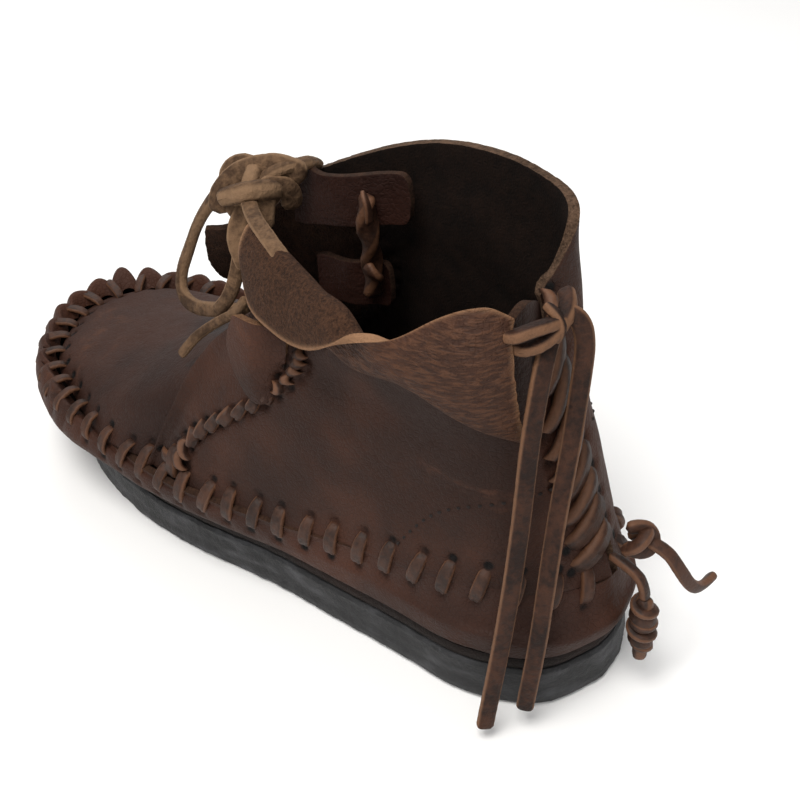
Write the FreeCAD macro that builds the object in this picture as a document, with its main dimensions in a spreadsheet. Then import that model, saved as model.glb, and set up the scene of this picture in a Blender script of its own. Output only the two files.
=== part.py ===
import FreeCAD, Part
import math
import os
from FreeCAD import Vector

# A left moccasin boot: a bottom leather gathered up round the foot and laced to
# a plug, two wings and two quarters, on a leather midsole and a rubber outsole.
# Frame: +Y points at the toe, +X at the wearer's right, +Z up, floor at Z = 0.

doc = FreeCAD.newDocument("moccasin")

# ---------------------------------------------------------------- driving sizes
SIZES = [
    ("shoe_length", 287.0, "outsole, heel to toe"),
    ("ball_width", 97.5, "outsole, widest"),
    ("shaft_height", 136.0, "seat to the top of the right collar"),
    ("outsole_thickness", 16.5, "rubber outsole"),
    ("midsole_thickness", 4.5, "leather midsole that shows as the welt"),
    ("insole_thickness", 3.0, "loose felt insole"),
    ("insole_clearance", 1.0, "insole edge to bottom leather"),
    ("leather_thickness", 2.6, "bottom, plug, wings and quarters"),
    ("counter_thickness", 2.0, "heel counter inside the quarters"),
    ("strap_thickness", 2.4, "throat straps"),
    ("layer_gap", 0.4, "air between leather pieces"),
    ("seam_gap", 0.8, "air between the bottom leather and what is laced to it"),
    ("wing_gap", 1.8, "air between a wing and its quarter"),
    ("lace_width", 5.6, "flat tie lace"),
    ("seam_lace_width", 3.4, "lacing of the seams"),
    ("bar_pitch", 11.0, "spacing of the seam lacing"),
    ("stitch_length", 3.4, "one visible counter or welt stitch"),
    ("stitch_gap", 2.2, "between two of those stitches"),
    ("thread_width", 1.1, "counter and welt thread"),
    ("barrel_length", 20.0, "coil knot at the heel"),
    ("barrel_width", 12.0, "coil knot at the heel"),
]

sheet = doc.addObject("Spreadsheet::Sheet", "Sizes")
for row, (alias, value, note) in enumerate(SIZES, start=1):
    sheet.set(f"A{row}", alias)
    sheet.set(f"B{row}", str(value))
    sheet.set(f"C{row}", note)
    sheet.setAlias(f"B{row}", alias)
doc.recompute()


def size(alias):
    return float(sheet.get(alias))


# The stations below are written at this reference size and scaled from it.
REFERENCE_LENGTH = 287.0
REFERENCE_WIDTH = 97.5
REFERENCE_SHAFT = 136.0
REFERENCE_SEAT = 21.0

width_scale = size("ball_width") / REFERENCE_WIDTH
length_scale = size("shoe_length") / REFERENCE_LENGTH
height_scale = size("shaft_height") / REFERENCE_SHAFT
seat = size("outsole_thickness") + size("midsole_thickness")
leather = size("leather_thickness")
gap = size("layer_gap")
seam_gap = size("seam_gap")
seam_radius = size("seam_lace_width") / 2
lace_radius = size("lace_width") / 2


def at(x, y, z):
    """A reference point, scaled to the chosen sizes; heights count from the seat."""
    above_seat = z - REFERENCE_SEAT
    if above_seat < 0:
        return Vector(x * width_scale, y * length_scale, z * seat / REFERENCE_SEAT)
    return Vector(x * width_scale, y * length_scale, seat + above_seat * height_scale)


# ------------------------------------------------------------ outlines of the last
# One row per station round the foot, from the heel along the outer side to the
# toe and back along the inner side: sole edge, fullest line and laced edge.
STATIONS = [
    ((0, -142), (0, -145), (0, -140)),
    ((-15, -139), (-16, -142), (-13, -135)),
    ((-28, -131), (-30, -131), (-24, -126)),
    ((-37, -114), (-38, -112), (-31.5, -114)),
    ((-40, -90), (-40.5, -88), (-37, -90)),
    ((-42, -60), (-43.5, -58), (-41.5, -62)),
    ((-44.5, -25), (-50, -25), (-48.5, -27)),
    ((-50, 10), (-57, 10), (-55, 10)),
    ((-51.5, 42), (-58.5, 44), (-54.5, 40)),
    ((-47, 74), (-57.5, 78), (-49.5, 70)),
    ((-39, 97), (-51, 103), (-43.5, 94)),
    ((-26, 119), (-37, 127), (-33, 114)),
    ((-9, 134), (-18, 144), (-17, 129)),
    ((9, 140), (3, 151), (1, 136.5)),
    ((26, 133), (23, 148), (16, 131)),
    ((38, 115), (39, 132), (28, 118)),
    ((44, 92), (47, 108), (36, 102)),
    ((46, 64), (50, 74), (42.5, 74)),
    ((42, 32), (49, 36), (45, 38)),
    ((36.5, 0), (43.5, 0), (41.5, 2)),
    ((32.5, -35), (37.5, -34), (36, -34)),
    ((32, -68), (34.5, -67), (33, -68)),
    ((33, -98), (33, -97), (30, -98)),
    ((29, -122), (28, -124), (23, -122)),
    ((17, -136), (16, -139), (12, -134)),
]
# Height of the laced edge along the foot, as (y, z) at the reference size.
SEAM_LINE = [(-160, 43), (-140, 44), (-118, 47.5), (-92, 45), (-66, 42),
             (-40, 39.5), (0, 38), (50, 37), (100, 37), (165, 39)]
FULL_LINE_Z = 31.0


def seam_height(y):
    """Laced edge height at a reference y, by straight lines between stations."""
    for (y0, z0), (y1, z1) in zip(SEAM_LINE, SEAM_LINE[1:]):
        if y0 <= y <= y1:
            return z0 + (z1 - z0) * (y - y0) / (y1 - y0)
    return SEAM_LINE[-1][1]


def closed_curve(points):
    curve = Part.BSplineCurve()
    curve.interpolate(Points=points, PeriodicFlag=True)
    return curve


def inset(points, distance):
    """Move each point of a closed outline towards the inside by a distance."""
    moved = []
    count = len(points)
    for index, point in enumerate(points):
        along = points[(index + 1) % count] - points[index - 1]
        along.z = 0
        along.normalize()
        moved.append(point + Vector(along.y, -along.x, 0) * distance)
    return moved


def outline(column, z, distance=0.0):
    points = [at(row[column][0], row[column][1], z) for row in STATIONS]
    return inset(points, distance)


SOLE, FULL, LACED = 0, 1, 2


# --------------------------------------------------------------- document helpers
def feature(label, shape):
    thing = doc.addObject("Part::Feature", label)
    thing.Label = label
    thing.Shape = shape
    return thing


def padded_outline(label, distance, base_z, thickness_alias):
    """A flat layer of the sole: an outline sketch and a pad bound to the sheet."""
    body = doc.addObject("PartDesign::Body", label)
    body.Label = label
    plane = [item for item in body.Origin.OriginFeatures if item.Role == "XY_Plane"][0]
    sketch = body.newObject("Sketcher::SketchObject", f"{label}_outline")
    sketch.AttachmentSupport = [(plane, "")]
    sketch.MapMode = "FlatFace"
    flat = [Vector(point.x, point.y, 0) for point in outline(SOLE, 0, distance)]
    sketch.addGeometry(closed_curve(flat), False)
    pad = body.newObject("PartDesign::Pad", f"{label}_pad")
    pad.Profile = sketch
    pad.setExpression("Length", f"Sizes.{thickness_alias}")
    body.Placement = FreeCAD.Placement(Vector(0, 0, base_z), FreeCAD.Rotation())
    return body


def joined_solid(faces):
    """Close a set of faces into one solid that points outwards."""
    shell = Part.makeShell(faces)
    shell.sewShape()
    solid = Part.makeSolid(shell)
    if solid.Volume < 0:
        solid.reverse()
    return solid


SAME_WAY = 1


def leather_sheet(net, thickness, sink=0.0, across=9, up=9):
    """A curved sheet: net is the outer face as columns of points, bottom to top.

    The inner face lies a thickness further in, and sink moves both of them in.
    """
    surface = Part.BSplineSurface()
    surface.interpolate(net)
    u0, u1, v0, v1 = surface.bounds()
    outer, inner = [], []
    for i in range(across):
        u = u0 + (u1 - u0) * i / (across - 1)
        outer.append([])
        inner.append([])
        for j in range(up):
            v = v0 + (v1 - v0) * j / (up - 1)
            point, normal = surface.value(u, v), surface.normal(u, v)
            outer[-1].append(point - normal * sink)
            inner[-1].append(point - normal * (sink + thickness))
    skins = []
    for grid in (outer, inner):
        skin = Part.BSplineSurface()
        skin.interpolate(grid)
        skins.append(skin)
    edges = []
    for skin in skins:
        a, b, c, d = skin.bounds()
        curves = (skin.uIso(a), skin.uIso(b), skin.vIso(c), skin.vIso(d))
        edges.append([curve.toShape() for curve in curves])
    faces = [skin.toShape() for skin in skins]
    for first, second in zip(*edges):
        faces.append(Part.makeRuledSurface(first, second, SAME_WAY))
    return joined_solid(faces), surface


def arc_bar(start, end, outward, radius, rise):
    """One visible bar of lacing: a round section along an arc that bows outward."""
    middle = (start + end) * 0.5 + outward * rise
    arc = Part.Arc(start, middle, end).toShape()
    direction = arc.tangentAt(arc.FirstParameter)
    ring = Part.Wire(Part.makeCircle(radius, start, direction))
    return Part.Wire(arc).makePipeShell([ring], True, False)


def compound(shapes):
    return Part.makeCompound(shapes)


# ------------------------------------------------------------------- sole layers
padded_outline("outsole", 0.0, 0.0, "outsole_thickness")
padded_outline("midsole", 1.0, size("outsole_thickness"), "midsole_thickness")

# ------------------------------------------------------- bottom leather, a tray
tray_floor = seat + gap
WALL_TOP_Z = 50.0


def tray_block(base_z, distance):
    """The space inside the fullest line; its wall leans in through the laced edge."""
    low = [Vector(p.x, p.y, base_z) for p in outline(SOLE, REFERENCE_SEAT, 4.0 + distance)]
    full = outline(FULL, FULL_LINE_Z, distance)
    laced = inset([at(x, y, seam_height(y)) for x, y in [row[LACED] for row in STATIONS]],
                  distance)
    top_z = at(0, 0, WALL_TOP_Z).z
    top = [p + (q - p) * ((top_z - p.z) / (q.z - p.z)) for p, q in zip(full, laced)]
    wires = [Part.Wire(closed_curve(points).toShape()) for points in (low, full, top)]
    return Part.makeLoft(wires, True, True)


def above_seam(lift):
    """Everything above the laced edge, as a block with the seam line under it."""
    line = [at(0, y, z) + Vector(0, 0, lift) for y, z in SEAM_LINE]
    curve = Part.BSplineCurve()
    curve.interpolate(Points=line)
    roof = line[-1].z + 100
    far, near = Vector(0, line[-1].y, roof), Vector(0, line[0].y, roof)
    walls = [curve.toShape(), Part.LineSegment(line[-1], far).toShape(),
             Part.LineSegment(far, near).toShape(), Part.LineSegment(near, line[0]).toShape()]
    face = Part.Face(Part.Wire(walls))
    half = size("ball_width")
    face.translate(Vector(-half, 0, 0))
    return face.extrude(Vector(2 * half, 0, 0))


tray = tray_block(tray_floor, 0.0).cut(tray_block(tray_floor + leather, leather))
feature("moccasin_bottom", tray.cut(above_seam(-seam_gap)))

insole_base = tray_floor + leather + gap
insole_inset = 4.0 + leather + size("insole_clearance") + 1.0
padded_outline("insole", insole_inset, insole_base, "insole_thickness")

# ------------------------------------------------------------------ upper leather
# Nets of reference points on the outer faces: each column runs from the laced
# edge up, and the columns go from the toe towards the heel.
def net_of(columns):
    return [[at(*point) for point in column] for column in columns]


# The plug arches over the foot: y, crown height, outer and inner edge, edge height.
PLUG_RIBS = [
    (134.5, 39.2, -8, 11, 37.8),
    (124, 43.5, -23, 23, 38.0),
    (106, 48.5, -37.5, 33, 38.2),
    (84, 52.5, -46, 39, 38.4),
    (62, 58, -50.5, 42.5, 38.6),
    (42, 66, -51, 40.5, 40.5),
    (20, 77, -43, 34, 46),
    (8, 84.5, -36.5, 28.5, 58.5),
    (-6, 94, -28, 22, 76),
]
RIB_POINTS = 7
RIB_ROUNDNESS = 0.8


def plug_net():
    columns = []
    for y, crown, outer_x, inner_x, edge in PLUG_RIBS:
        column = []
        for step in range(RIB_POINTS):
            turn = math.pi * step / (RIB_POINTS - 1)
            share = (1 - math.cos(turn)) / 2
            rise = (crown - edge) * math.sin(turn) ** RIB_ROUNDNESS
            column.append(at(outer_x + (inner_x - outer_x) * share, y, edge + rise))
        columns.append(column)
    return columns


plug, plug_face = leather_sheet(plug_net(), leather)
feature("plug", plug)

LEFT_QUARTER = [
    [(-54, 12, 38.6), (-47, 4, 59), (-40.5, -22, 79), (-35, -42, 97), (-33, -46, 108)],
    [(-47, -35, 39.8), (-41.5, -45, 62), (-36, -55, 84), (-33, -59, 100), (-35.5, -58, 114)],
    [(-40.5, -72, 43.2), (-36.5, -77, 64), (-32.5, -81, 84), (-31, -82, 101), (-38, -81, 116.5)],
    [(-36, -100, 46.5), (-32, -101, 66), (-28.5, -102, 84), (-28, -103, 100), (-36, -104, 118)],
    [(-21, -130, 46.8), (-19.5, -125, 66), (-17.5, -121.5, 84), (-16, -118.5, 104),
     (-16, -117, 141)],
    [(-1.2, -140, 44.4), (-1.2, -133.5, 64), (-1.2, -127, 84), (-1.2, -119.5, 105),
     (-1.2, -111, 133)],
]
left_quarter, left_face = leather_sheet(net_of(LEFT_QUARTER), leather)
feature("left_quarter", left_quarter)

RIGHT_QUARTER = [
    [(43, 14, 38.6), (41, 4, 60), (37, -14, 80), (33, -26, 100), (23, 0, 134)],
    [(37.5, -28, 39.8), (35, -36, 64), (32, -44, 90), (31, -46, 116), (31, -40, 151)],
    [(34, -65, 43), (31.5, -69, 66), (29, -73, 90), (29.5, -76, 118), (31, -77, 157)],
    [(30.5, -98, 46.5), (27.5, -99, 68), (25, -100, 90), (25, -101, 116), (26.5, -99, 155)],
    [(18, -129, 46.8), (16.5, -125, 66), (14.5, -121.5, 86), (13.5, -117.5, 110),
     (14, -113, 150)],
    [(1.2, -140, 44.4), (1.2, -133.5, 64), (1.2, -127, 84), (1.2, -119.5, 105),
     (1.2, -110, 134)],
]
right_quarter, right_face = leather_sheet(net_of(RIGHT_QUARTER), -leather)
feature("right_quarter", right_quarter)

# The slumped upper part of the left quarter, folded outwards along its crease.
LEFT_CUFF = [
    [(-21, -9, 121), (-22, -10, 126), (-18.5, -8, 131)],
    [(-32.5, -42, 114.5), (-33.5, -42, 124), (-28, -39, 134)],
    [(-37.4, -63, 117.1), (-39.5, -65, 125), (-35.5, -65, 133)],
    [(-39.6, -84, 119.2), (-41.5, -88, 127), (-38, -88, 135)],
    [(-37.5, -104, 121.2), (-38, -105, 131), (-32, -105, 146)],
    [(-27.5, -113, 135), (-26, -114, 141), (-22.5, -114.5, 149.5)],
]
left_cuff, cuff_face = leather_sheet(net_of(LEFT_CUFF), leather)
feature("left_cuff", left_cuff)


def edge_column(face, share, distance, rows=5):
    """Points up a face at a share of its length, moved forward along the face."""
    u0, u1, v0, v1 = face.bounds()
    column = []
    for row in range(rows):
        v = v0 + (v1 - v0) * row / (rows - 1)
        along = face.tangent(u0 + (u1 - u0) * share, v)[0]
        column.append(face.value(u0 + (u1 - u0) * share, v) - along * distance)
    return column


LEFT_WING = [
    [(-52.6, 26, 38.8), (-46.5, 17, 58), (-37, 12, 74), (-29, 0, 92), (-29, -22, 111)],
    [(-53.3, 19, 38.7), (-47.5, 9, 59), (-40, -6, 77), (-34, -20, 95), (-32, -33, 111)],
]
left_wing_net = net_of(LEFT_WING) + [edge_column(left_face, 0, size("wing_gap"))]
left_wing, left_wing_face = leather_sheet(left_wing_net, leather)
feature("left_wing", left_wing)

RIGHT_WING = [
    [(44, 32, 38.8), (40, 37, 59), (22, 41, 76), (7, 36, 92), (5, 31, 112)],
    [(43.6, 22, 38.7), (41.5, 18, 60), (33, 12, 81), (22.5, 11, 100), (14, 14, 121)],
]
right_wing_net = net_of(RIGHT_WING) + [edge_column(right_face, 0, size("wing_gap"))]
right_wing, right_wing_face = leather_sheet(right_wing_net, -leather)
feature("right_wing", right_wing)

# The heel counter lies inside both quarters and follows them round the heel.
COUNTER_SHARES = (0.62, 0.7, 0.78, 0.85, 0.91, 0.955)
COUNTER_ROWS = (0.08, 0.16, 0.24, 0.33, 0.42)


def inside_column(face, share, depth):
    u0, u1, v0, v1 = face.bounds()
    u = u0 + (u1 - u0) * share
    column = []
    for row in COUNTER_ROWS:
        v = v0 + (v1 - v0) * row
        column.append(face.value(u, v) - face.normal(u, v) * depth)
    return column


counter_depth = leather + 5 * gap
counter_net = [inside_column(left_face, share, counter_depth) for share in COUNTER_SHARES]
counter_net += [inside_column(right_face, share, -counter_depth)
                for share in reversed(COUNTER_SHARES)]
heel_counter, counter_face = leather_sheet(counter_net, size("counter_thickness"))
feature("heel_counter", heel_counter)


# ------------------------------------------------------------------ throat straps
def strap(label, front, rear, length, height):
    """A flat strap from its front lower corner, rounded at its free rear end."""
    box = doc.addObject("Part::Box", f"{label}_blank")
    box.Length = length
    box.Height = height
    box.setExpression("Width", "Sizes.strap_thickness")
    direction = (at(*rear) - at(*front)).normalize()
    turned = FreeCAD.Rotation(direction, Vector(0, 0, 1), Vector(0, 0, 1), "XZY")
    box.Placement = FreeCAD.Placement(at(*front), turned)
    doc.recompute()
    ends = [(index + 1, height * 0.3, height * 0.3) for index, edge in
            enumerate(box.Shape.Edges)
            if (edge.CenterOfMass - at(*front)).dot(direction) > length - 0.1
            and abs(edge.Length - size("strap_thickness")) < 0.01]
    rounded = doc.addObject("Part::Fillet", label)
    rounded.Label = label
    rounded.Base = box
    rounded.Edges = ends
    return rounded


strap("throat_upper_strap", (8, -7, 121), (21, -50, 128), 47, 18)
strap("throat_lower_strap", (15, -14, 93), (23, -40, 96), 27, 17)


# ----------------------------------------------------------- rounded lace routes
def route_wire(points, label):
    """Straight runs joined by the largest tangent arcs that the runs allow."""
    edges, radii = [], []
    start = points[0]
    for before, corner, after in zip(points, points[1:], points[2:]):
        back, ahead = before - corner, after - corner
        shorter = min(back.Length, ahead.Length)
        back.normalize()
        ahead.normalize()
        half_turn = (math.pi - back.getAngle(ahead)) / 2
        reach = 0.45 * shorter
        radius = reach / math.tan(half_turn)
        centre_way = (back + ahead).normalize()
        centre = corner + centre_way * math.hypot(reach, radius)
        first, last = corner + back * reach, corner + ahead * reach
        edges.append(Part.LineSegment(start, first).toShape())
        edges.append(Part.Arc(first, centre - centre_way * radius, last).toShape())
        radii.append(round(radius, 1))
        start = last
    edges.append(Part.LineSegment(start, points[-1]).toShape())
    print(f"{label}: arc radii {radii} mm")
    return Part.Wire(edges)


def tube(label, points, radius):
    """A round tube along a route, with its volume compared with section x length."""
    wire = route_wire(points, label)
    direction = (points[1] - points[0]).normalize()
    ring = Part.Wire(Part.makeCircle(radius, points[0], direction))
    solid = wire.makePipeShell([ring], True, False)
    expected = math.pi * radius ** 2 * wire.Length
    if abs(solid.Volume - expected) > 0.03 * expected:
        raise ValueError(f"{label}: tube volume {solid.Volume:.0f}, expected {expected:.0f}")
    print(f"{label}: length {wire.Length:.1f} mm")
    return solid


def lace(label, route, width_alias="lace_width"):
    """A free lace in a node of its own; its points stay as chosen."""
    points = [at(*point) for point in route]
    return feature(label, tube(label, points, size(width_alias) / 2))


THONG = [(13.9, -33.4, 138), (13.8, -33.2, 124), (15.6, -31, 114), (17.3, -28.9, 106),
         (17.4, -28.7, 96)]
lace("throat_thong", THONG, "seam_lace_width")

# --------------------------------------------------------------------- tie knots
def ring_at(centre, axis, radius, thickness):
    return Part.makeTorus(radius, thickness, at(*centre), Vector(*axis))


def fused(shapes):
    return shapes[0].multiFuse(shapes[1:])


FRONT_KNOT = (-6, 2, 134)
front_knot = fused([
    ring_at(FRONT_KNOT, (1, 0.3, 0.2), 5.5, lace_radius),
    ring_at((-5, 4, 135), (0.2, 1, 0.3), 5.0, lace_radius),
    Part.makeSphere(4.6, at(*FRONT_KNOT)),
])
feature("front_tie_knot", front_knot)
STRAP_STRAND = [(-5, -2, 139), (-2, -5, 143.5), (4, -7.8, 144.6), (9, -8.3, 143.2),
                (15, -7, 141.6), (21.7, -2.6, 137.1)]
lace("front_strap_strand", STRAP_STRAND)
CUFF_STRAND = [(-9, -2, 137.5), (-14, -9, 139), (-20, -20, 138.5), (-24.5, -30, 137)]
lace("front_cuff_strand", CUFF_STRAND)

REAR_KNOT = (-6.5, -122.6, 138)
rear_knot = fused([
    ring_at(REAR_KNOT, (0.25, 0.2, 1), 4.2, lace_radius * 0.9),
    Part.makeSphere(3.8, at(*REAR_KNOT)),
])
feature("rear_tie_knot", rear_knot)

OVERHAND_KNOT = (2.5, -144.2, 60)
overhand = fused([
    ring_at(OVERHAND_KNOT, (0.4, 0.3, 1), 3.2, 2.2),
    Part.makeSphere(3.2, at(*OVERHAND_KNOT)),
])
feature("heel_overhand_knot", overhand)

# The coil knot hangs behind the heel on a short lace.
BARREL_TOP = (-1, -152.2, 41)
BARREL_TURNS = 5
barrel_radius = size("barrel_width") / 2
turn_pitch = size("barrel_length") / BARREL_TURNS
turn_radius = turn_pitch * 0.56
barrel_parts = [Part.makeCylinder(barrel_radius - turn_radius, size("barrel_length"),
                                  at(*BARREL_TOP), Vector(0, 0, -1))]
for turn in range(BARREL_TURNS):
    middle = at(*BARREL_TOP) - Vector(0, 0, turn_pitch * (turn + 0.5))
    barrel_parts.append(Part.makeTorus(barrel_radius - turn_radius, turn_radius, middle))
feature("heel_barrel_knot", fused(barrel_parts))
BARREL_LACE = [(-1, -152.2, 41.2), (-1, -151.8, 46.5), (-1, -148, 51.5), (-1, -138.7, 52.8)]
lace("heel_barrel_lace", BARREL_LACE, "seam_lace_width")

# ------------------------------------------------------------------- free laces
REAR_TAIL_LEFT = [(-9.5, -124, 135), (-14.5, -125.5, 131), (-19, -126, 120), (-23, -125.5, 105),
                  (-28, -127, 84), (-34, -128, 60), (-40, -127, 34), (-46, -126, 12),
                  (-47.5, -125.6, 4.2)]
REAR_TAIL_RIGHT = [(-5, -125, 140), (-3.5, -129, 140), (-2, -131, 132), (-4, -131, 119),
                   (-9.5, -132, 101), (-18, -134, 81), (-27, -136, 60), (-33, -135.5, 36),
                   (-36.5, -133, 8.5)]
FRONT_LOOP = [(-4, 8.5, 136.5), (-2.5, 18, 133.5), (-1, 30, 123), (-0.5, 41, 111), (-1, 49, 98),
              (-3, 55, 86), (-6, 53, 78.5), (-8.5, 43, 78), (-11, 30, 83), (-12.5, 16, 89), (-12.8, 4, 92.6)]
FRONT_TAIL_LOW = [(-10.5, 0, 130.5), (-15, -1.2, 121), (-18.5, 0.5, 109), (-20.5, 6, 99),
                  (-20.5, 15, 92.5)]
FRONT_TAIL_WING = [(-22.5, -9, 108), (-23, -4, 101), (-24, 5, 95), (-26.5, 14, 88),
                   (-30, 20.5, 81), (-33.5, 24, 74)]
HEEL_TAIL = [(4, -148, 60.5), (6, -154, 58.5), (7.5, -158.5, 51), (11, -161, 42.5),
             (17.5, -161.8, 37.5), (25, -161.5, 37)]
lace("rear_tail_left", REAR_TAIL_LEFT)
lace("rear_tail_right", REAR_TAIL_RIGHT)
lace("front_loop", FRONT_LOOP)
lace("front_tail_low", FRONT_TAIL_LOW)
lace("front_tail_wing", FRONT_TAIL_WING)
lace("heel_tail", HEEL_TAIL, "seam_lace_width")

# ------------------------------------------------------------------ seam lacing
BAR_STEP_OUT = 4.1
BAR_RISE = 1.2


def on_face(face, point):
    u, v = face.parameter(point)
    return face.value(u, v)


def bar_between(low, high, along, thickness):
    """A lacing bar over two holes, lifted off the leather on its outer side."""
    across = (high - low).normalize()
    outward = along.cross(across).normalize()
    if outward.dot((low + high) * 0.5 - Vector(0, low.y * 0.9, seat)) < 0:
        outward = outward * -1
    lift = outward * (thickness + 1.75 * gap)
    return arc_bar(low + lift, high + lift, outward, thickness, BAR_RISE)


laced_line = closed_curve([at(x, y, seam_height(y)) for x, y in [row[LACED] for row in STATIONS]])
full_line = closed_curve(outline(FULL, FULL_LINE_Z))
laced_edge, full_edge = laced_line.toShape(), full_line.toShape()
bar_count = round(laced_edge.Length / size("bar_pitch"))
marks = laced_edge.discretize(Number=bar_count + 1)[:-1]
uppers = [plug_face, left_face, right_face, left_wing_face, right_wing_face]
bars = {"toe_lacing": [], "left_side_lacing": [], "right_side_lacing": []}
TOE_FROM_Y = 30.0 * length_scale
for index, mark in enumerate(marks):
    along = (marks[(index + 1) % len(marks)] - marks[index - 1]).normalize()
    fullest = full_line.value(full_line.parameter(mark))
    down = (fullest - mark).normalize()
    low = mark + down * BAR_STEP_OUT
    aim = mark - down * BAR_STEP_OUT + Vector(0, 0, 2)
    high = min([on_face(face, aim) for face in uppers], key=lambda p: (p - aim).Length)
    if (high - low).Length < 5 or (high - low).Length > 16:
        continue
    name = "toe_lacing"
    if mark.y < TOE_FROM_Y:
        name = "left_side_lacing" if mark.x < 0 else "right_side_lacing"
    if abs(mark.x) < 6 and mark.y < 0:
        continue
    bars[name].append(bar_between(low, high, along, seam_radius))
for name, shapes in bars.items():
    print(name, len(shapes), "bars")
    feature(name, compound(shapes))


def seam_up(label, first_face, second_face, first_share, second_share, rows, slant):
    """Bars across a seam between two faces, each sloping by slant of the height."""
    shapes = []
    for row in rows:
        pair = []
        for face, share, offset in ((first_face, first_share, -slant),
                                    (second_face, second_share, slant)):
            u0, u1, v0, v1 = face.bounds()
            pair.append(face.value(u0 + (u1 - u0) * share, v0 + (v1 - v0) * (row + offset)))
        along = Vector(0, 0, 1)
        shapes.append(bar_between(pair[0], pair[1], along, seam_radius))
    feature(label, compound(shapes))


seam_up("heel_seam_lacing", left_face, right_face, 0.955, 0.955,
        [0.17 + 0.1 * step for step in range(8)], 0.012)
seam_up("left_wing_lacing", left_wing_face, left_face, 0.8, 0.06,
        [0.14 + 0.17 * step for step in range(5)], 0.03)
seam_up("right_wing_lacing", right_wing_face, right_face, 0.8, 0.06,
        [0.14 + 0.17 * step for step in range(5)], 0.03)

# -------------------------------------------------------------- thread stitching
thread = size("thread_width") / 2
stitch_pitch = size("stitch_length") + size("stitch_gap")


def dashes(points, normals):
    """Thread dashes along a dense line of points, one every stitch pitch."""
    shapes = []
    travelled, due = 0.0, 0.0
    for index in range(1, len(points)):
        step = points[index] - points[index - 1]
        travelled += step.Length
        if travelled < due:
            continue
        due = travelled + stitch_pitch
        along = step.normalize()
        lift = normals[index] * (thread + gap / 2)
        start = points[index] + lift
        shapes.append(arc_bar(start, start + along * size("stitch_length"),
                              normals[index], thread, 0.15))
    return shapes


# The counter's seam on each quarter, as shares along and up the face.
COUNTER_SEAM = [(0.515, 0.06), (0.56, 0.16), (0.63, 0.28), (0.72, 0.36), (0.85, 0.4), (0.96, 0.42)]
DASH_SAMPLES = 160


def counter_dashes(face, outward):
    u0, u1, v0, v1 = face.bounds()
    flat = Part.BSplineCurve()
    flat.interpolate(Points=[Vector(u, v, 0) for u, v in COUNTER_SEAM])
    points, normals = [], []
    for mark in flat.toShape().discretize(Number=DASH_SAMPLES):
        u, v = u0 + (u1 - u0) * mark.x, v0 + (v1 - v0) * mark.y
        points.append(face.value(u, v))
        normals.append(face.normal(u, v) * outward)
    return dashes(points, normals)


feature("left_counter_stitching", compound(counter_dashes(left_face, 1)))
feature("right_counter_stitching", compound(counter_dashes(right_face, -1)))

WELT_INSET = 2.2
WELT_TO_Y = -40.0 * length_scale
welt = closed_curve(outline(SOLE, REFERENCE_SEAT, WELT_INSET)).toShape()
welt_points = [p for p in welt.discretize(Distance=0.8) if p.y < WELT_TO_Y]
welt_points.sort(key=lambda p: math.atan2(p.x, -p.y + WELT_TO_Y * 2))
feature("welt_stitching", compound(dashes(welt_points, [Vector(0, 0, 1)] * len(welt_points))))

# ------------------------------------------------------------- check and write out
doc.recompute()
KINDS = ("Part::Feature", "PartDesign::Body", "Part::Fillet")
pieces = [thing for thing in doc.Objects if thing.TypeId in KINDS]
for thing in doc.Objects:
    if "Invalid" in thing.State or "Error" in thing.State:
        raise ValueError(f"{thing.Label} did not build: {thing.State}")
for piece in pieces:
    if piece.Shape.isNull() or not piece.Shape.isValid():
        raise ValueError(f"{piece.Label} has no sound shape")
os.makedirs("parts", exist_ok=True)
for piece in pieces:
    shape = piece.Shape
    print(f"{piece.Label}: {len(shape.Solids)} solids, {shape.Volume / 1000:.1f} cm3")
    shape.exportStep(f"parts/{piece.Label}.step")
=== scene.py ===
# %% [markdown]
# # A hand-laced moccasin
# The shoe is a few pieces of thick leather pulled together with leather lacing on a
# rubber sole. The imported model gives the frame: every piece made here lies where its
# CAD node lies, in metres, with the toe along +Y and the wearer's right along +X.


# %% load the frame
import math

import bpy
import numpy as np
from mathutils import Matrix, Vector, noise


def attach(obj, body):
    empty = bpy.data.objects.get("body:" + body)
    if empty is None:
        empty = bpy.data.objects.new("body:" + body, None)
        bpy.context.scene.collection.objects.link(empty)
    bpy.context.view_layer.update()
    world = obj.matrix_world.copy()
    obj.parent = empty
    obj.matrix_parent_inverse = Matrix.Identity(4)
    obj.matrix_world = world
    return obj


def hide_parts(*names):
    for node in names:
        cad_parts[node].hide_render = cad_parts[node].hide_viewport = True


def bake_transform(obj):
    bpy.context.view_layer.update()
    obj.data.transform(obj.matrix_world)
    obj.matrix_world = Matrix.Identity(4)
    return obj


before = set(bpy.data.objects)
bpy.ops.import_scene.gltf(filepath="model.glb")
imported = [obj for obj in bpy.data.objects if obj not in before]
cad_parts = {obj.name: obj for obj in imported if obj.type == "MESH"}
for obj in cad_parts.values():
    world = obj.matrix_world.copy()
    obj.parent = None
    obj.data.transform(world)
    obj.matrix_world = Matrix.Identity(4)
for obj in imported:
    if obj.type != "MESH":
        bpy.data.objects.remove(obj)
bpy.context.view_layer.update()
MM = 0.001
LEATHER = 2.6  # thickness of every hide, in mm


# %% [markdown]
# ## Camera, floor and light
# The camera looks down at the outer side and the heel, as someone standing behind the
# shoe would. It is placed first, because the loose laces are checked against its view.
# Large soft lamps on every side keep the dark leather readable without hard shadows.


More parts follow.
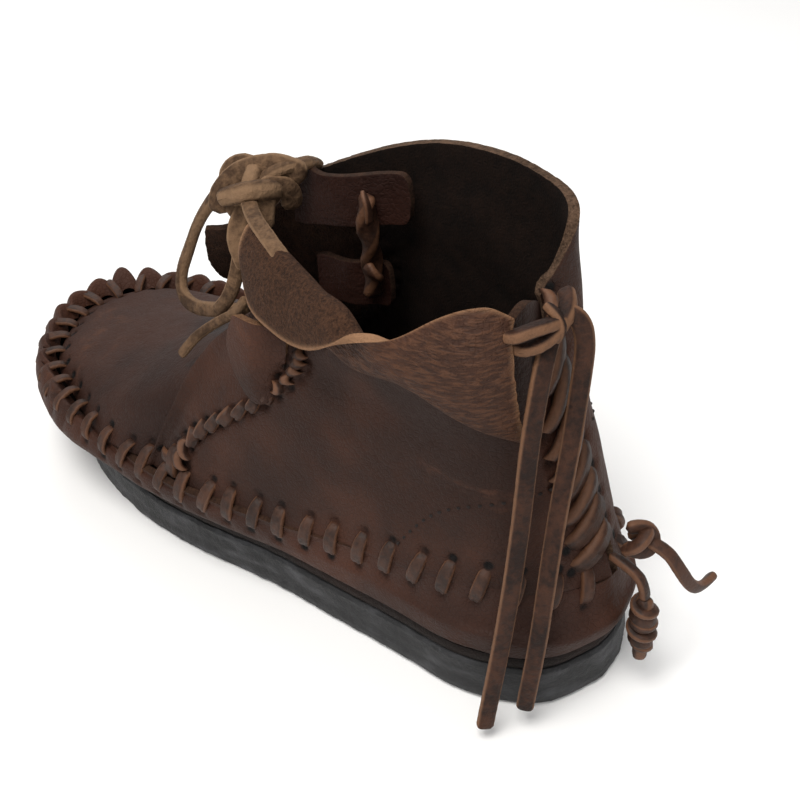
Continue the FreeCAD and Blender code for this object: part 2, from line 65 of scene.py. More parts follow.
# %% camera
AZIMUTH, ELEVATION, ROLL = (math.radians(a) for a in (-45.59, 37.33, -4.74))
LOOK_AT = Vector((34.03, -20.66, 36.18)) * MM
DISTANCE = 0.4296
LENS_MM, SENSOR_MM = 49.16, 36
back = Vector((math.sin(AZIMUTH) * math.cos(ELEVATION),
               -math.cos(AZIMUTH) * math.cos(ELEVATION), math.sin(ELEVATION)))
level = Vector((math.cos(AZIMUTH), math.sin(AZIMUTH), 0))
upward = back.cross(level)
side = math.cos(ROLL) * level + math.sin(ROLL) * upward
top = -math.sin(ROLL) * level + math.cos(ROLL) * upward
bpy.ops.object.camera_add()
camera = bpy.context.object
turn = Matrix((side, top, back)).transposed().to_4x4()
camera.matrix_world = Matrix.Translation(LOOK_AT + back * DISTANCE) @ turn
camera.data.lens, camera.data.sensor_width = LENS_MM, SENSOR_MM
camera.data.clip_start, camera.data.clip_end = 0.01, 20
bpy.context.scene.camera = camera
print("camera at", [round(x, 3) for x in camera.location])


# %% lamps and world
def lamp(name, place, aim, watts, width, tint):
    bpy.ops.object.light_add(type="AREA", location=place)
    light = bpy.context.object
    light.name = name
    light.data.energy, light.data.size, light.data.color = watts, width, tint
    light.rotation_mode = "QUATERNION"
    light.rotation_quaternion = (Vector(aim) - Vector(place)).to_track_quat("-Z", "Y")


lamp("key_lamp", (-0.35, -0.15, 1.0), (0, 0, 0.05), 8.6, 0.5, (1, 0.98, 0.95))
lamp("fill_lamp", (-0.9, -0.7, 0.5), (0, 0, 0.05), 2.2, 0.9, (0.97, 0.98, 1))
lamp("rim_lamp", (0.6, 0.7, 0.8), (0, 0, 0.08), 4.0, 0.7, (1, 1, 1))
world = bpy.data.worlds.new("studio")
bpy.context.scene.world = world
world.use_nodes = True
surround = world.node_tree.nodes["Background"].inputs
surround["Color"].default_value, surround["Strength"].default_value = (1, 1, 1, 1), 0.5
bpy.context.scene.view_settings.view_transform = "Standard"


# %% [markdown]
# ## Small tools for shapes
# A hide is a sheet, so most pieces start as a grid and are laid on a smooth surface
# that passes through a few measured points. The helper below turns values at knots
# into a natural cubic curve; used along both directions it gives a surface.


# %% smooth curves through points
def curve_weights(knots, where, closed=False):
    """Rows of weights that turn values at the knots into values on a smooth curve."""
    count = len(knots) - 1 if closed else len(knots)
    gaps = np.diff(knots)
    pull, load = np.zeros((count, count)), np.zeros((count, count))
    for i in range(count):
        if not closed and i in (0, count - 1):
            pull[i, i] = 1
            continue
        a, b = gaps[i - 1], gaps[i % len(gaps)]
        j, k = (i - 1) % count, (i + 1) % count
        pull[i, j] += a
        pull[i, i] += 2 * (a + b)
        pull[i, k] += b
        load[i, j] += 6 / a
        load[i, i] -= 6 / a + 6 / b
        load[i, k] += 6 / b
    bend, same = np.linalg.solve(pull, load), np.eye(count)
    where = np.asarray(where, float)
    cell = np.clip(np.searchsorted(knots, where, side="right") - 1, 0, len(gaps) - 1)
    h = gaps[cell]
    t = (where - knots[cell]) / h
    lo, hi = cell % count, (cell + 1) % count
    rows = (1 - t)[:, None] * same[lo] + t[:, None] * same[hi]
    rows += (h * h / 6 * ((1 - t) ** 3 - (1 - t)))[:, None] * bend[lo]
    return rows + (h * h / 6 * (t ** 3 - t))[:, None] * bend[hi]


def spaced(points):
    """Distance along a chain of points, from 0 to 1."""
    steps = np.linalg.norm(np.diff(points, axis=0), axis=1)
    return np.concatenate([[0], np.cumsum(steps)]) / steps.sum()


class Skin:
    """A smooth surface through a net: columns of points in mm, each from bottom to top."""

    def __init__(self, net):
        self.net = np.array(net, float) * MM
        columns, rows = self.net.shape[:2]
        self.u = np.mean([spaced(self.net[:, r]) for r in range(rows)], axis=0)
        self.v = np.mean([spaced(self.net[c]) for c in range(columns)], axis=0)

    def at(self, u, v):
        a, b = curve_weights(self.u, u), curve_weights(self.v, v)
        return np.einsum("nc,nr,crk->nk", a, b, self.net)

    def normal(self, u, v):
        step = 0.004
        along = self.at(u + step, v) - self.at(u - step, v)
        up = self.at(u, v + step) - self.at(u, v - step)
        n = np.cross(along, up)
        return n / np.linalg.norm(n, axis=1)[:, None]


def bumps(points, scale, seed=0.0):
    """Smooth noise from -1 to 1 at each point; scale is the size of a bump in metres."""
    return np.array([noise.noise(Vector(p / scale) + Vector((seed, 0, 0))) for p in points])


def ease(x, low, high):
    t = np.clip((np.asarray(x, float) - low) / (high - low), 0, 1)
    return t * t * (3 - 2 * t)


# %% grids and modifiers
SEAM_GAP = 0.00002  # points closer than this, in metres, are one point


def deselect():
    if bpy.context.object and bpy.context.object.mode != "OBJECT":
        bpy.ops.object.mode_set(mode="OBJECT")
    bpy.ops.object.select_all(action="DESELECT")


def places(thing):
    co = np.empty(len(thing.data.vertices) * 3)
    thing.data.vertices.foreach_get("co", co)
    return co.reshape(-1, 3)


def put(thing, co):
    thing.data.vertices.foreach_set("co", np.asarray(co).ravel())
    thing.data.update()


def grid(name, across, up, shape):
    """A grid whose points go where shape(u, v) says, with u and v from 0 to 1."""
    deselect()
    bpy.ops.mesh.primitive_grid_add(x_subdivisions=across, y_subdivisions=up, size=1)
    thing = bpy.context.object
    thing.name = thing.data.name = name
    flat = places(thing)
    u, v = np.clip(flat[:, 0] + 0.5, 0, 1), np.clip(flat[:, 1] + 0.5, 0, 1)
    put(thing, shape(u, v))
    return thing


def modify(thing, kind, **settings):
    """Adds one modifier, sets it and applies it."""
    deselect()
    thing.select_set(True)
    bpy.context.view_layer.objects.active = thing
    bpy.ops.object.modifier_add(type=kind)
    modifier = thing.modifiers[-1]
    for key, value in settings.items():
        setattr(modifier, key, value)
    bpy.ops.object.modifier_apply(modifier=modifier.name)


def edit(thing, *steps):
    """Runs edit-mode operators on the whole mesh; each step is (operator, settings)."""
    deselect()
    thing.select_set(True)
    bpy.context.view_layer.objects.active = thing
    bpy.ops.object.mode_set(mode="EDIT")
    bpy.ops.mesh.select_all(action="SELECT")
    for operator, settings in steps:
        operator(**settings)
    bpy.ops.object.mode_set(mode="OBJECT")


def close_seam(thing):
    edit(thing, (bpy.ops.mesh.remove_doubles, {"threshold": SEAM_GAP}),
         (bpy.ops.mesh.normals_make_consistent, {"inside": False}))


def joined(name, things):
    deselect()
    for thing in things:
        thing.select_set(True)
    bpy.context.view_layer.objects.active = things[0]
    bpy.ops.object.join()
    things[0].name = things[0].data.name = name
    return things[0]


def mark(thing, name, values):
    layer = thing.data.attributes.new(name, "FLOAT", "POINT")
    layer.data.foreach_set("value", np.asarray(values, np.float32))


def finished(thing, body, materials, nodes, smooth=50):
    """Gives a piece its body and slot, and hides the CAD nodes that it stands for.

    A hide has its finishes already and comes with an empty list of materials.
    """
    deselect()
    thing.select_set(True)
    bpy.context.view_layer.objects.active = thing
    bpy.ops.object.shade_smooth_by_angle(angle=math.radians(smooth))
    if materials:
        thing.data.materials.clear()
    for material in materials:
        thing.data.materials.append(material)
    if body:
        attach(thing, body)
    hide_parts(*nodes)
    thing.name = thing.data.name = nodes[0] + "_piece"
    print(thing.name, len(thing.data.polygons), "faces")
    return thing


# %% [markdown]
# ## Finishes
# One small class wraps a shader socket, so that a finish reads as arithmetic. The
# leather is the same oiled hide everywhere; grain side, flesh side and cut edge differ:
# the grain is smooth with pores and pull-up marks, and the flesh is matt and mottled.
# Most cut edges are stained dark; at the collar, the lapel and the ear tab they are
# pale, because the dye has not gone through.


# %% shader arithmetic
class Socket:
    """A shader output; arithmetic on it adds Math nodes."""

    def __init__(self, tree, link):
        self.tree, self.link = tree, link

    def node(self, kind, settings=None, output=0, **inputs):
        made = self.tree.nodes.new(kind)
        for key, value in (settings or {}).items():
            setattr(made, key, value)
        for key, value in inputs.items():
            name = key.replace("_", " ")
            target = made.inputs[int(key[1:])] if key[1:].isdigit() else made.inputs[name]
            if isinstance(value, Socket):
                self.tree.links.new(value.link, target)
            else:
                target.default_value = value
        return Socket(self.tree, made.outputs[output])

    def math(self, operation, *values):
        sockets = {f"i{k}": value for k, value in enumerate(values)}
        return self.node("ShaderNodeMath", {"operation": operation}, **sockets)

    def __add__(self, other):
        return self.math("ADD", self, other)

    def __rsub__(self, other):
        return self.math("SUBTRACT", other, self)

    def __mul__(self, other):
        return self.math("MULTIPLY", self, other)

    __radd__ = __add__
    __rmul__ = __mul__

    def range(self, low, high):
        """0 below low, 1 above high, and smooth between them."""
        return self.node("ShaderNodeMapRange", {"interpolation_type": "SMOOTHSTEP"},
                         Value=self, From_Min=low, From_Max=high)

    def mix(self, first, second):
        """first where this is 0 and second where it is 1."""
        return self.node("ShaderNodeMix", {"data_type": "RGBA"}, 2, i0=self, i6=first,
                         i7=second)


DEPTH = 0.54


def tone(hex_code, gain=DEPTH):
    """A colour from its usual web code; the oiled hide is deeper than its swatch."""
    parts = [int(hex_code[k:k + 2], 16) / 255 for k in (0, 2, 4)]
    linear = [c / 12.92 if c < 0.04045 else ((c + 0.055) / 1.055) ** 2.4 for c in parts]
    warm = (1, 0.76, 0.6) if gain != 1 else (1, 1, 1)
    return (*[min(1, c * gain * w) for c, w in zip(linear, warm)], 1)


def new_finish(name, roughness, level=0.35):
    """An empty finish: returns the material, a place to start from and its shader."""
    material = bpy.data.materials.new(name)
    material.use_nodes = True
    tree = material.node_tree
    shader = tree.nodes["Principled BSDF"]
    shader.inputs["Roughness"].default_value = roughness
    shader.inputs["Specular IOR Level"].default_value = level
    where = tree.nodes.new("ShaderNodeTexCoord")
    return material, Socket(tree, where.outputs["Object"]), shader


def speckle(place, scale, detail=3.0, rough=0.55, stretch=(1, 1, 1), distortion=0.0):
    moved = place.node("ShaderNodeMapping", Vector=place, Scale=stretch)
    return place.node("ShaderNodeTexNoise", Vector=moved, Scale=scale, Detail=detail,
                      Roughness=rough, Distortion=distortion)


def bump(height, depth):
    """Raises the surface by height times depth metres."""
    return height.node("ShaderNodeBump", Height=height, Distance=depth, Strength=1.0)


def plug_in(shader, name, socket):
    socket.tree.links.new(socket.link, shader.inputs[name])


# %% grain side
def grain_finish(name, dark, middle, worn, ribbed=0.0, direction=(1, 1, 1)):
    """Oiled grain: cloudy colour, worn streaks, pores and creases."""
    material, place, shader = new_finish(name, 0.6, level=0.2)
    clouds = speckle(place, 26, 5)
    patches = speckle(place, 9, 3)
    fine = speckle(place, 210, 4, 0.6)
    body = (clouds * 0.55 + patches * 0.45).range(0.4, 0.61).mix(tone(dark), tone(middle))
    rubbed = speckle(place, 17, 6, 0.7, distortion=1.2).range(0.56, 0.74)
    colour = (rubbed * 0.7 * fine.range(0.3, 0.7)).mix(body, tone(worn))
    pores = place.node("ShaderNodeTexVoronoi", {"feature": "DISTANCE_TO_EDGE"},
                       Vector=place, Scale=620.0).range(0.0, 0.16)
    colour = ((1 - pores) * 0.16).mix(colour, tone(dark, 0.3))
    edge = place.node("ShaderNodeAttribute", {"attribute_name": "edge"}, 2)
    colour = (edge.range(0.2, 0.9) * 0.7).mix(colour, tone("b2977c"))
    # painted shade: the hole mark turns the grain near-black in and round each lace hole,
    # standing in for the shade inside the hole, since the sheets are only dented there
    hole = place.node("ShaderNodeAttribute", {"attribute_name": "hole"}, 2)
    colour = hole.range(0.3, 0.7).mix(colour, tone("0d0807"))
    creases = speckle(place, 75, 4, 0.65, distortion=0.6)
    height = pores * 0.12 + fine * 0.45 + creases * 1.3
    if ribbed:
        ridges = speckle(place, 420, 2, 0.5, direction, 0.5)
        height = height + ridges * ribbed
        colour = (ridges.range(0.4, 0.66) * 0.4).mix(colour, tone(worn))
    plug_in(shader, "Base Color", colour)
    plug_in(shader, "Roughness", fine * 0.2 + clouds * 0.15 + 0.46)
    plug_in(shader, "Normal", bump(height, 0.0009))
    return material


upper_grain = grain_finish("upper_grain", "38261f", "5a3f34", "7d5d4e")
plug_grain = grain_finish("plug_grain", "35241f", "4d362e", "7b5a48")
bottom_grain = grain_finish("bottom_grain", "402c25", "5c4035", "7c5c4c")
cuff_grain = grain_finish("cuff_grain", "47332a", "664a3b", "866650", 1.1, (0.6, 0.6, 2.6))
strap_grain = grain_finish("strap_grain", "36221d", "472d26", "5c3e33")


# %% flesh side and cut edges
def suede_finish(name, dark, pale, scale=150.0, depth=0.0009):
    """The flesh side: matt and mottled, with short fibres."""
    material, place, shader = new_finish(name, 0.92, level=0.15)
    mottle = speckle(place, scale, 5, 0.7)
    cloud = speckle(place, 30, 3)
    fibre = speckle(place, 1500, 2, 0.6)
    share = (mottle * 0.5 + cloud * 0.15 + fibre * 0.35).range(0.34, 0.66)
    edge = place.node("ShaderNodeAttribute", {"attribute_name": "edge"}, 2)
    colour = share.mix(tone(dark), tone(pale))
    colour = (edge.range(0.1, 0.7) * (0.4 + fibre)).mix(colour, tone("bda38a"))
    plug_in(shader, "Base Color", colour)
    plug_in(shader, "Roughness", mottle * 0.15 + 0.82)
    plug_in(shader, "Normal", bump(mottle * 0.6 + fibre * 0.6, depth))
    return material


lapel_flesh = suede_finish("lapel_flesh", "33261f", "6c5546", 700.0, 0.0014)
# painted shade: the flesh side inside the shoe is made near-black, far darker than the same
# flesh side on the lapel, because the inside lies in shade
inside_flesh_painted_shade = suede_finish("inside_flesh_painted_shade", "120d0b", "2a201b")
wing_flesh = suede_finish("wing_flesh", "241a15", "4c3a30", 260.0, 0.0014)
collar_flesh = suede_finish("collar_flesh", "43392f", "85766a", 400.0)
raw_edge = suede_finish("raw_edge", "6e5847", "b0967c", 600.0)
dark_edge = suede_finish("dark_edge", "2e231e", "55443a", 320.0)
felt = suede_finish("felt", "241d1a", "3d332d", 400.0)


# %% lacing, thread and rubber
def lace_finish(name, dark, middle, edge, suede=0.0):
    """A cut lace: grain lengthwise, and its two edges pale. Reads the lace's own marks."""
    material, place, shader = new_finish(name, 0.6 + 0.3 * suede, level=0.3 - 0.15 * suede)
    rim = place.node("ShaderNodeAttribute", {"attribute_name": "rim"}, 2)
    cloud = speckle(place, 60, 4)
    fine = speckle(place, 420, 4, 0.65)
    share = (cloud * 0.5 + fine * 0.5).range(0.36, 0.64)
    body = share.mix(tone(dark), tone(middle))
    colour = (rim.range(0.62, 0.95) * (0.45 + fine * 0.7)).mix(body, tone(edge))
    plug_in(shader, "Base Color", colour)
    plug_in(shader, "Roughness", fine * 0.25 + 0.45 + 0.25 * suede)
    plug_in(shader, "Normal", bump(fine + cloud * 0.6, 0.0005 + 0.0006 * suede))
    return material


seam_lace = lace_finish("seam_lace", "30231d", "5d4437", "866853")
tie_suede = lace_finish("tie_suede", "54473b", "93826e", "ab9a84", 1.0)
tail_lace = lace_finish("tail_lace", "2a1d18", "573f33", "9c8069", 0.5)

thread, spot, thread_shader = new_finish("thread", 0.7)
plug_in(thread_shader, "Base Color", speckle(spot, 900, 2).mix(tone("120c0a"), tone("2a1d18")))

rubber, spot, rubber_shader = new_finish("rubber", 0.6, level=0.3)
grit = speckle(spot, 520, 5, 0.7)
smear = speckle(spot, 45, 4, 0.6, (1, 1, 3))
ashen = smear.range(0.45, 0.75) * 0.6 + grit.range(0.55, 0.8) * 0.4
plug_in(rubber_shader, "Base Color", ashen.mix(tone("222223", 1), tone("535356", 1)))
plug_in(rubber_shader, "Roughness", grit * 0.3 + 0.45)
plug_in(rubber_shader, "Normal", bump(grit + smear, 0.0008))

midsole_leather = grain_finish("midsole_leather", "1e1613", "2f221d", "43322a")
print("finishes", len(bpy.data.materials))


# %% the floor
floor_finish, spot, floor_shader = new_finish("pale_floor", 0.9, level=0.1)
plug_in(floor_shader, "Base Color",
        speckle(spot, 3, 2).mix(tone("f4f3f1", 1), tone("ffffff", 1)))
deselect()
bpy.ops.mesh.primitive_circle_add(vertices=96, radius=3, fill_type="NGON")
floor = bpy.context.object
floor.name = "floor"
put(floor, places(floor) - np.array([0, 0, 0.0006]))
floor.data.materials.append(floor_finish)


# %% [markdown]
# ## Loose laces
# The ties are strips cut from the same hide. Each free lace follows a NURBS curve
# through the points of its CAD route, and a flat rounded section is swept along it.
# A lace rolls a little as it hangs, so the section turns along the way; its two edges
# carry a mark, so that the finish can show the undyed cut there.


# %% sweep a flat lace
def spline_line(points, name):
    """Points read from a NURBS curve whose control points are in mm."""
    curve = bpy.data.curves.new(name, "CURVE")
    curve.dimensions = "3D"
    strand = curve.splines.new("NURBS")
    strand.points.add(len(points) - 1)
    for knot, place in zip(strand.points, points):
        knot.co = (*[c * MM for c in place], 1)
    strand.order_u = 3
    strand.use_endpoint_u = True
    strand.resolution_u = 14
    thing = bpy.data.objects.new(name, curve)
    bpy.context.scene.collection.objects.link(thing)
    bpy.context.view_layer.update()
    line = bpy.data.meshes.new_from_object(thing)
    co = np.array([v.co[:] for v in line.vertices])
    bpy.data.objects.remove(thing)
    bpy.data.meshes.remove(line)
    keep = np.concatenate([[True], np.linalg.norm(np.diff(co, axis=0), axis=1) > 1e-7])
    return co[keep]


ROW_PITCH, BLUNT_END = 0.9, 0.6  # mm between rows, and the cap's share of the thickness


def lace_mesh(name, line, width, thick, roll, flat, fuzz=0.05, around=16):
    """A closed flat lace along a line in metres; width and thick in mm.

    The length of the name seeds the unevenness, so that no two laces are alike.
    """
    reach = spaced(line)
    total = np.linalg.norm(np.diff(line, axis=0), axis=1).sum()
    rows = max(8, int(total / (ROW_PITCH * MM)))
    marks = np.linspace(0, 1, rows + 1)
    path = np.stack([np.interp(marks, reach, line[:, k]) for k in range(3)], 1)
    for _ in range(2):
        path[1:-1] = (path[:-2] + 2 * path[1:-1] + path[2:]) / 4
    way = np.gradient(path, axis=0)
    way /= np.linalg.norm(way, axis=1)[:, None]
    facing = np.zeros_like(path)
    facing[0] = np.array(flat, float)
    for i in range(len(path)):
        last = facing[max(i - 1, 0)]
        now = last - way[i] * (last @ way[i])
        facing[i] = now / np.linalg.norm(now)
    across = np.cross(way, facing)
    spin = np.radians(np.interp(marks, np.linspace(0, 1, len(roll)), roll))[:, None]
    facing, across = (facing * np.cos(spin) + across * np.sin(spin),
                      across * np.cos(spin) - facing * np.sin(spin))

    def shape(u, v):
        row = v * rows
        low = np.clip(row.astype(int), 0, rows - 1)
        share = (row - low)[:, None]

        def pick(values):
            return values[low] * (1 - share) + values[low + 1] * share
        angle = u * 2 * math.pi
        c, s = np.cos(angle), np.sin(angle)
        close = np.minimum(v, 1 - v) * total / (thick * MM * BLUNT_END)
        cap = np.sqrt(np.clip(1 - (1 - np.clip(close, 0, 1)) ** 2, 0, 1))
        wide = np.sign(c) * np.abs(c) ** 0.7 * width / 2 * MM * cap
        deep = np.sign(s) * np.abs(s) ** 0.75 * thick / 2 * MM * cap
        co = pick(path) + pick(across) * wide[:, None] + pick(facing) * deep[:, None]
        rough = bumps(co, 0.004, len(name)) * 0.35 + bumps(co, 0.0011, 3) * 0.4
        away = pick(across) * np.sign(c)[:, None] + pick(facing) * np.sign(s)[:, None]
        return co + away * (rough * fuzz * width * MM * 0.5 * cap)[:, None]
    thing = grid(name, around, rows, shape)
    edge = np.abs(np.cos((np.arange(len(thing.data.vertices)) % (around + 1))
                         / around * 2 * math.pi))
    mark(thing, "rim", edge)
    close_seam(thing)
    return thing


# %% the six free laces
def free_lace(name, points, width, thick, roll, flat, finish):
    """A lace that hangs free from its first point."""
    line = spline_line(points, name)
    thing = lace_mesh(name, line, width, thick, roll, flat)
    finished(thing, "shoe", [finish], [name], 60)


REAR_TAIL_LEFT = [(-13, -124, 134), (-18, -125.5, 130), (-22.5, -126.5, 120),
                  (-26, -126.5, 105), (-30.5, -127.5, 84), (-36, -128, 60), (-41, -127, 34),
                  (-46, -126, 12), (-47.5, -125.6, 4.2)]
REAR_TAIL_RIGHT = [(-9.5, -125, 140), (-8, -129, 140), (-7, -131, 132), (-9, -131, 119),
                   (-14, -132, 101), (-21, -133, 81), (-28.5, -135, 60), (-33.5, -135.5, 36),
                   (-36.5, -133, 8.5)]
FRONT_LOOP = [(-4, 8.5, 136.5), (-2.5, 18, 133.5), (-1, 30, 123), (-0.5, 41, 111),
              (-1, 49, 98), (-3, 55, 86), (-6, 53, 78.5), (-8.5, 43, 78), (-11, 30, 83),
              (-12.5, 16, 89), (-12.8, 4, 92.6)]
FRONT_TAIL_LOW = [(-10.5, 0, 130.5), (-15, -1.2, 121), (-18.5, 0.5, 109), (-20.5, 6, 99),
                  (-19.5, 13, 93.5)]
FRONT_TAIL_WING = [(-22.5, -9, 108), (-23, -4, 101), (-24, 5, 95), (-26.5, 14, 88),
                   (-29.5, 19.5, 82), (-32, 22.5, 77)]
HEEL_TAIL = [(4, -148, 60.5), (6, -154, 58.5), (7.5, -158.5, 51), (11, -161, 42.5),
             (17.5, -161.8, 37.5), (25, -161.5, 37)]
free_lace("rear_tail_left", REAR_TAIL_LEFT, 5.6, 3.2, (10, 25, 20), (-0.5, -0.8, 0),
          tail_lace)
free_lace("rear_tail_right", REAR_TAIL_RIGHT, 5.6, 3.2, (0, 20, 10), (-0.4, -0.9, 0.2),
          tail_lace)
free_lace("front_loop", FRONT_LOOP, 5.6, 4.2, (0, 15, -25, 10), (-0.6, -0.5, 0.6), tie_suede)
free_lace("front_tail_low", FRONT_TAIL_LOW, 5.0, 3.8, (0, 15, 30), (-0.6, -0.6, 0.5),
          tie_suede)
free_lace("front_tail_wing", FRONT_TAIL_WING, 3.6, 2.8, (0, -15, 0), (-0.7, -0.2, 0.7),
          tie_suede)
free_lace("heel_tail", HEEL_TAIL, 4.2, 3.0, (0, 30, 60), (0, -0.6, 0.8), seam_lace)


# %% [markdown]
# ## The upper leather
# Two quarters meet at the heel, a plug covers the foot, and a wing on each side reaches
# over it. Each is one sheet: a smooth surface through a few measured points, given the
# hide's thickness, with small waves so that it doesn't look pressed. Solidify makes the
# inner face and the cut edge in one step and gives each its own finish.


# %% the plug over the foot
# y, crown height, outer x, inner x and edge height of each rib, in mm
PLUG_RIBS = [(134.5, 39.2, -8, 11, 37.8), (124, 43.5, -23, 23, 38.0),
             (106, 48.5, -37.5, 33, 38.2), (84, 52.5, -46, 39, 38.4),
             (62, 58, -53.2, 44, 38.2), (42, 66, -54, 43.5, 38.8),
             (20, 77, -47.5, 38, 43), (8, 84.5, -37.5, 29, 58), (-6, 94, -28, 22, 76)]


def plug_rib(y, crown, outer, inner, edge):
    """Seven points of an arch over the foot, a little squarer than an ellipse."""
    turns = [math.pi * k / 6 for k in range(7)]
    return [(outer + (inner - outer) * (1 - math.cos(t)) / 2, y,
             edge + (crown - edge) * math.sin(t) ** 0.8) for t in turns]


plug_skin = Skin([plug_rib(*rib) for rib in PLUG_RIBS])


# %% the two quarters
LEFT_QUARTER = [
    [(-54, 12, 38.6), (-47, 4, 59), (-40.5, -22, 79), (-35, -42, 97), (-32, -46, 108)],
    [(-47, -35, 39.8), (-41.5, -45, 62), (-36, -55, 84), (-32.5, -59, 100),
     (-33, -58, 114)],
    [(-40.5, -72, 43.2), (-36.5, -77, 64), (-32.5, -81, 84), (-31, -82, 101),
     (-34.5, -81, 117)],
    [(-36, -100, 46.5), (-32, -101, 66), (-28.5, -102, 84), (-28, -103, 100),
     (-33, -104, 119)],
    [(-21, -130, 46.8), (-19.5, -125, 66), (-17.5, -121.5, 84), (-16, -118.5, 104),
     (-16, -117, 141)],
    [(-1.2, -140, 44.4), (-1.2, -133.5, 64), (-1.2, -127, 84), (-1.2, -119.5, 105),
     (-1.2, -111, 133)]]
RIGHT_QUARTER = [
    [(43, 14, 38.6), (41, 4, 60), (37, -14, 80), (33, -26, 100), (23, 0, 134)],
    [(37.5, -28, 39.8), (35, -36, 64), (32, -44, 90), (31, -46, 116), (31, -40, 151)],
    [(34, -65, 43), (31.5, -69, 66), (29, -73, 90), (29.5, -76, 118), (31, -77, 157)],
    [(30.5, -98, 46.5), (27.5, -99, 68), (25, -100, 90), (25, -101, 116),
     (26.5, -99, 155)],
    [(18, -129, 46.8), (16.5, -125, 66), (14.5, -121.5, 86), (13.5, -117.5, 110),
     (14, -113, 150)],
    [(1.2, -140, 44.4), (1.2, -133.5, 64), (1.2, -127, 84), (1.2, -119.5, 105),
     (1.2, -110, 134)]]
left_skin, right_skin = Skin(LEFT_QUARTER), Skin(RIGHT_QUARTER)


# %% the wings' patterns
def edge_column(skin):
    """Five points up a quarter's front edge, moved 1 mm forward along the hide."""
    v = np.linspace(0, 1, 5)
    here, ahead = skin.at(np.zeros(5), v), skin.at(np.full(5, 0.01), v)
    along = (ahead - here) / np.linalg.norm(ahead - here, axis=1)[:, None]
    return ((here - along * MM) / MM).tolist()


LEFT_WING = [
    [(-52.6, 26, 38.8), (-46.5, 17, 58), (-37, 12, 74), (-29, 0, 92), (-29, -22, 111)],
    [(-53.3, 19, 38.7), (-47.5, 9, 59), (-40, -6, 77), (-34, -20, 95), (-32, -33, 111)],
    edge_column(left_skin)]
RIGHT_WING = [
    [(44, 32, 38.8), (40, 37, 59), (20, 42, 76), (1, 39, 92), (-3, 33, 112)],
    [(43.6, 22, 38.7), (41.5, 18, 60), (33, 12, 81), (22.5, 11, 100), (12, 16, 119)],
    edge_column(right_skin)]
left_wing_skin, right_wing_skin = Skin(LEFT_WING), Skin(RIGHT_WING)


# %% [markdown]
# ## The shoe's outline and where the lacing goes
# The bottom leather is a tray drawn up round the foot. Its upper edge is laced to the
# other pieces with one lace: a bar shows over the seam, a hole at each of its ends.
# The bars' ends are worked out first, because the holes dent every sheet they pass.


# %% outlines: sole edge, fullest line and laced edge
# (x, y) in mm of the sole edge, the fullest line and the laced edge, from the heel round
STATIONS = [
    ((0, -142), (0, -145), (0, -140)), ((-15, -139), (-16, -142), (-13, -135)),
    ((-28, -131), (-30, -131), (-24, -126)), ((-37, -114), (-38, -112), (-31.5, -114)),
    ((-40, -90), (-40.5, -88), (-37, -90)), ((-42, -60), (-43.5, -58), (-41.5, -62)),
    ((-44.5, -25), (-50, -25), (-48.5, -27)), ((-50, 10), (-57, 10), (-55, 10)),
    ((-51.5, 42), (-58.5, 44), (-54.5, 40)), ((-47, 74), (-57.5, 78), (-49.5, 70)),
    ((-39, 97), (-51, 103), (-43.5, 94)), ((-26, 119), (-37, 127), (-33, 114)),
    ((-9, 134), (-18, 144), (-17, 129)), ((9, 140), (3, 151), (1, 136.5)),
    ((26, 133), (23, 148), (16, 131)), ((38, 115), (39, 132), (28, 118)),
    ((44, 92), (47, 108), (36, 102)), ((46, 64), (50, 74), (42.5, 74)),
    ((42, 32), (49, 36), (45, 38)), ((36.5, 0), (43.5, 0), (41.5, 2)),
    ((32.5, -35), (37.5, -34), (36, -34)), ((32, -68), (34.5, -67), (33, -68)),
    ((33, -98), (33, -97), (30, -98)), ((29, -122), (28, -124), (23, -122)),
    ((17, -136), (16, -139), (12, -134))]
SEAM_Y = [-160, -140, -118, -92, -66, -40, 0, 50, 100, 165]
SEAM_Z = [43, 44, 47.5, 45, 42, 39.5, 38, 37, 37, 39]
ROUND = 640      # points round the shoe
BAR_PITCH = 11   # mm of laced edge for one bar


def ring(column, height):
    """A closed line round the foot: points (x, y, z) in mm at the same shares."""
    flat = np.array([row[column] for row in STATIONS], float)
    laced = np.array([row[2] + (0,) for row in STATIONS], float)
    knots = spaced(np.vstack([laced, laced[:1]]))
    share = np.linspace(0, 1, ROUND + 1)
    xy = curve_weights(knots, share, True) @ flat
    z = np.interp(xy[:, 1], SEAM_Y, SEAM_Z) if height is None else np.full(len(xy), height)
    return np.column_stack([xy, z])


def moved_in(line, distance):
    way = np.gradient(np.vstack([line[-2], line, line[1]]), axis=0)[1:-1]
    way[:, 2] = 0
    way /= np.linalg.norm(way, axis=1)[:, None]
    return line + np.column_stack([way[:, 1], -way[:, 0], np.zeros(len(way))]) * distance


sole_line, full_line, laced_line = ring(0, 21), ring(1, 31), ring(2, None)
laced_length = np.linalg.norm(np.diff(laced_line, axis=0), axis=1).sum()
BARS = round(laced_length / BAR_PITCH)
print("laced edge", round(laced_length), "mm,", BARS, "bars")


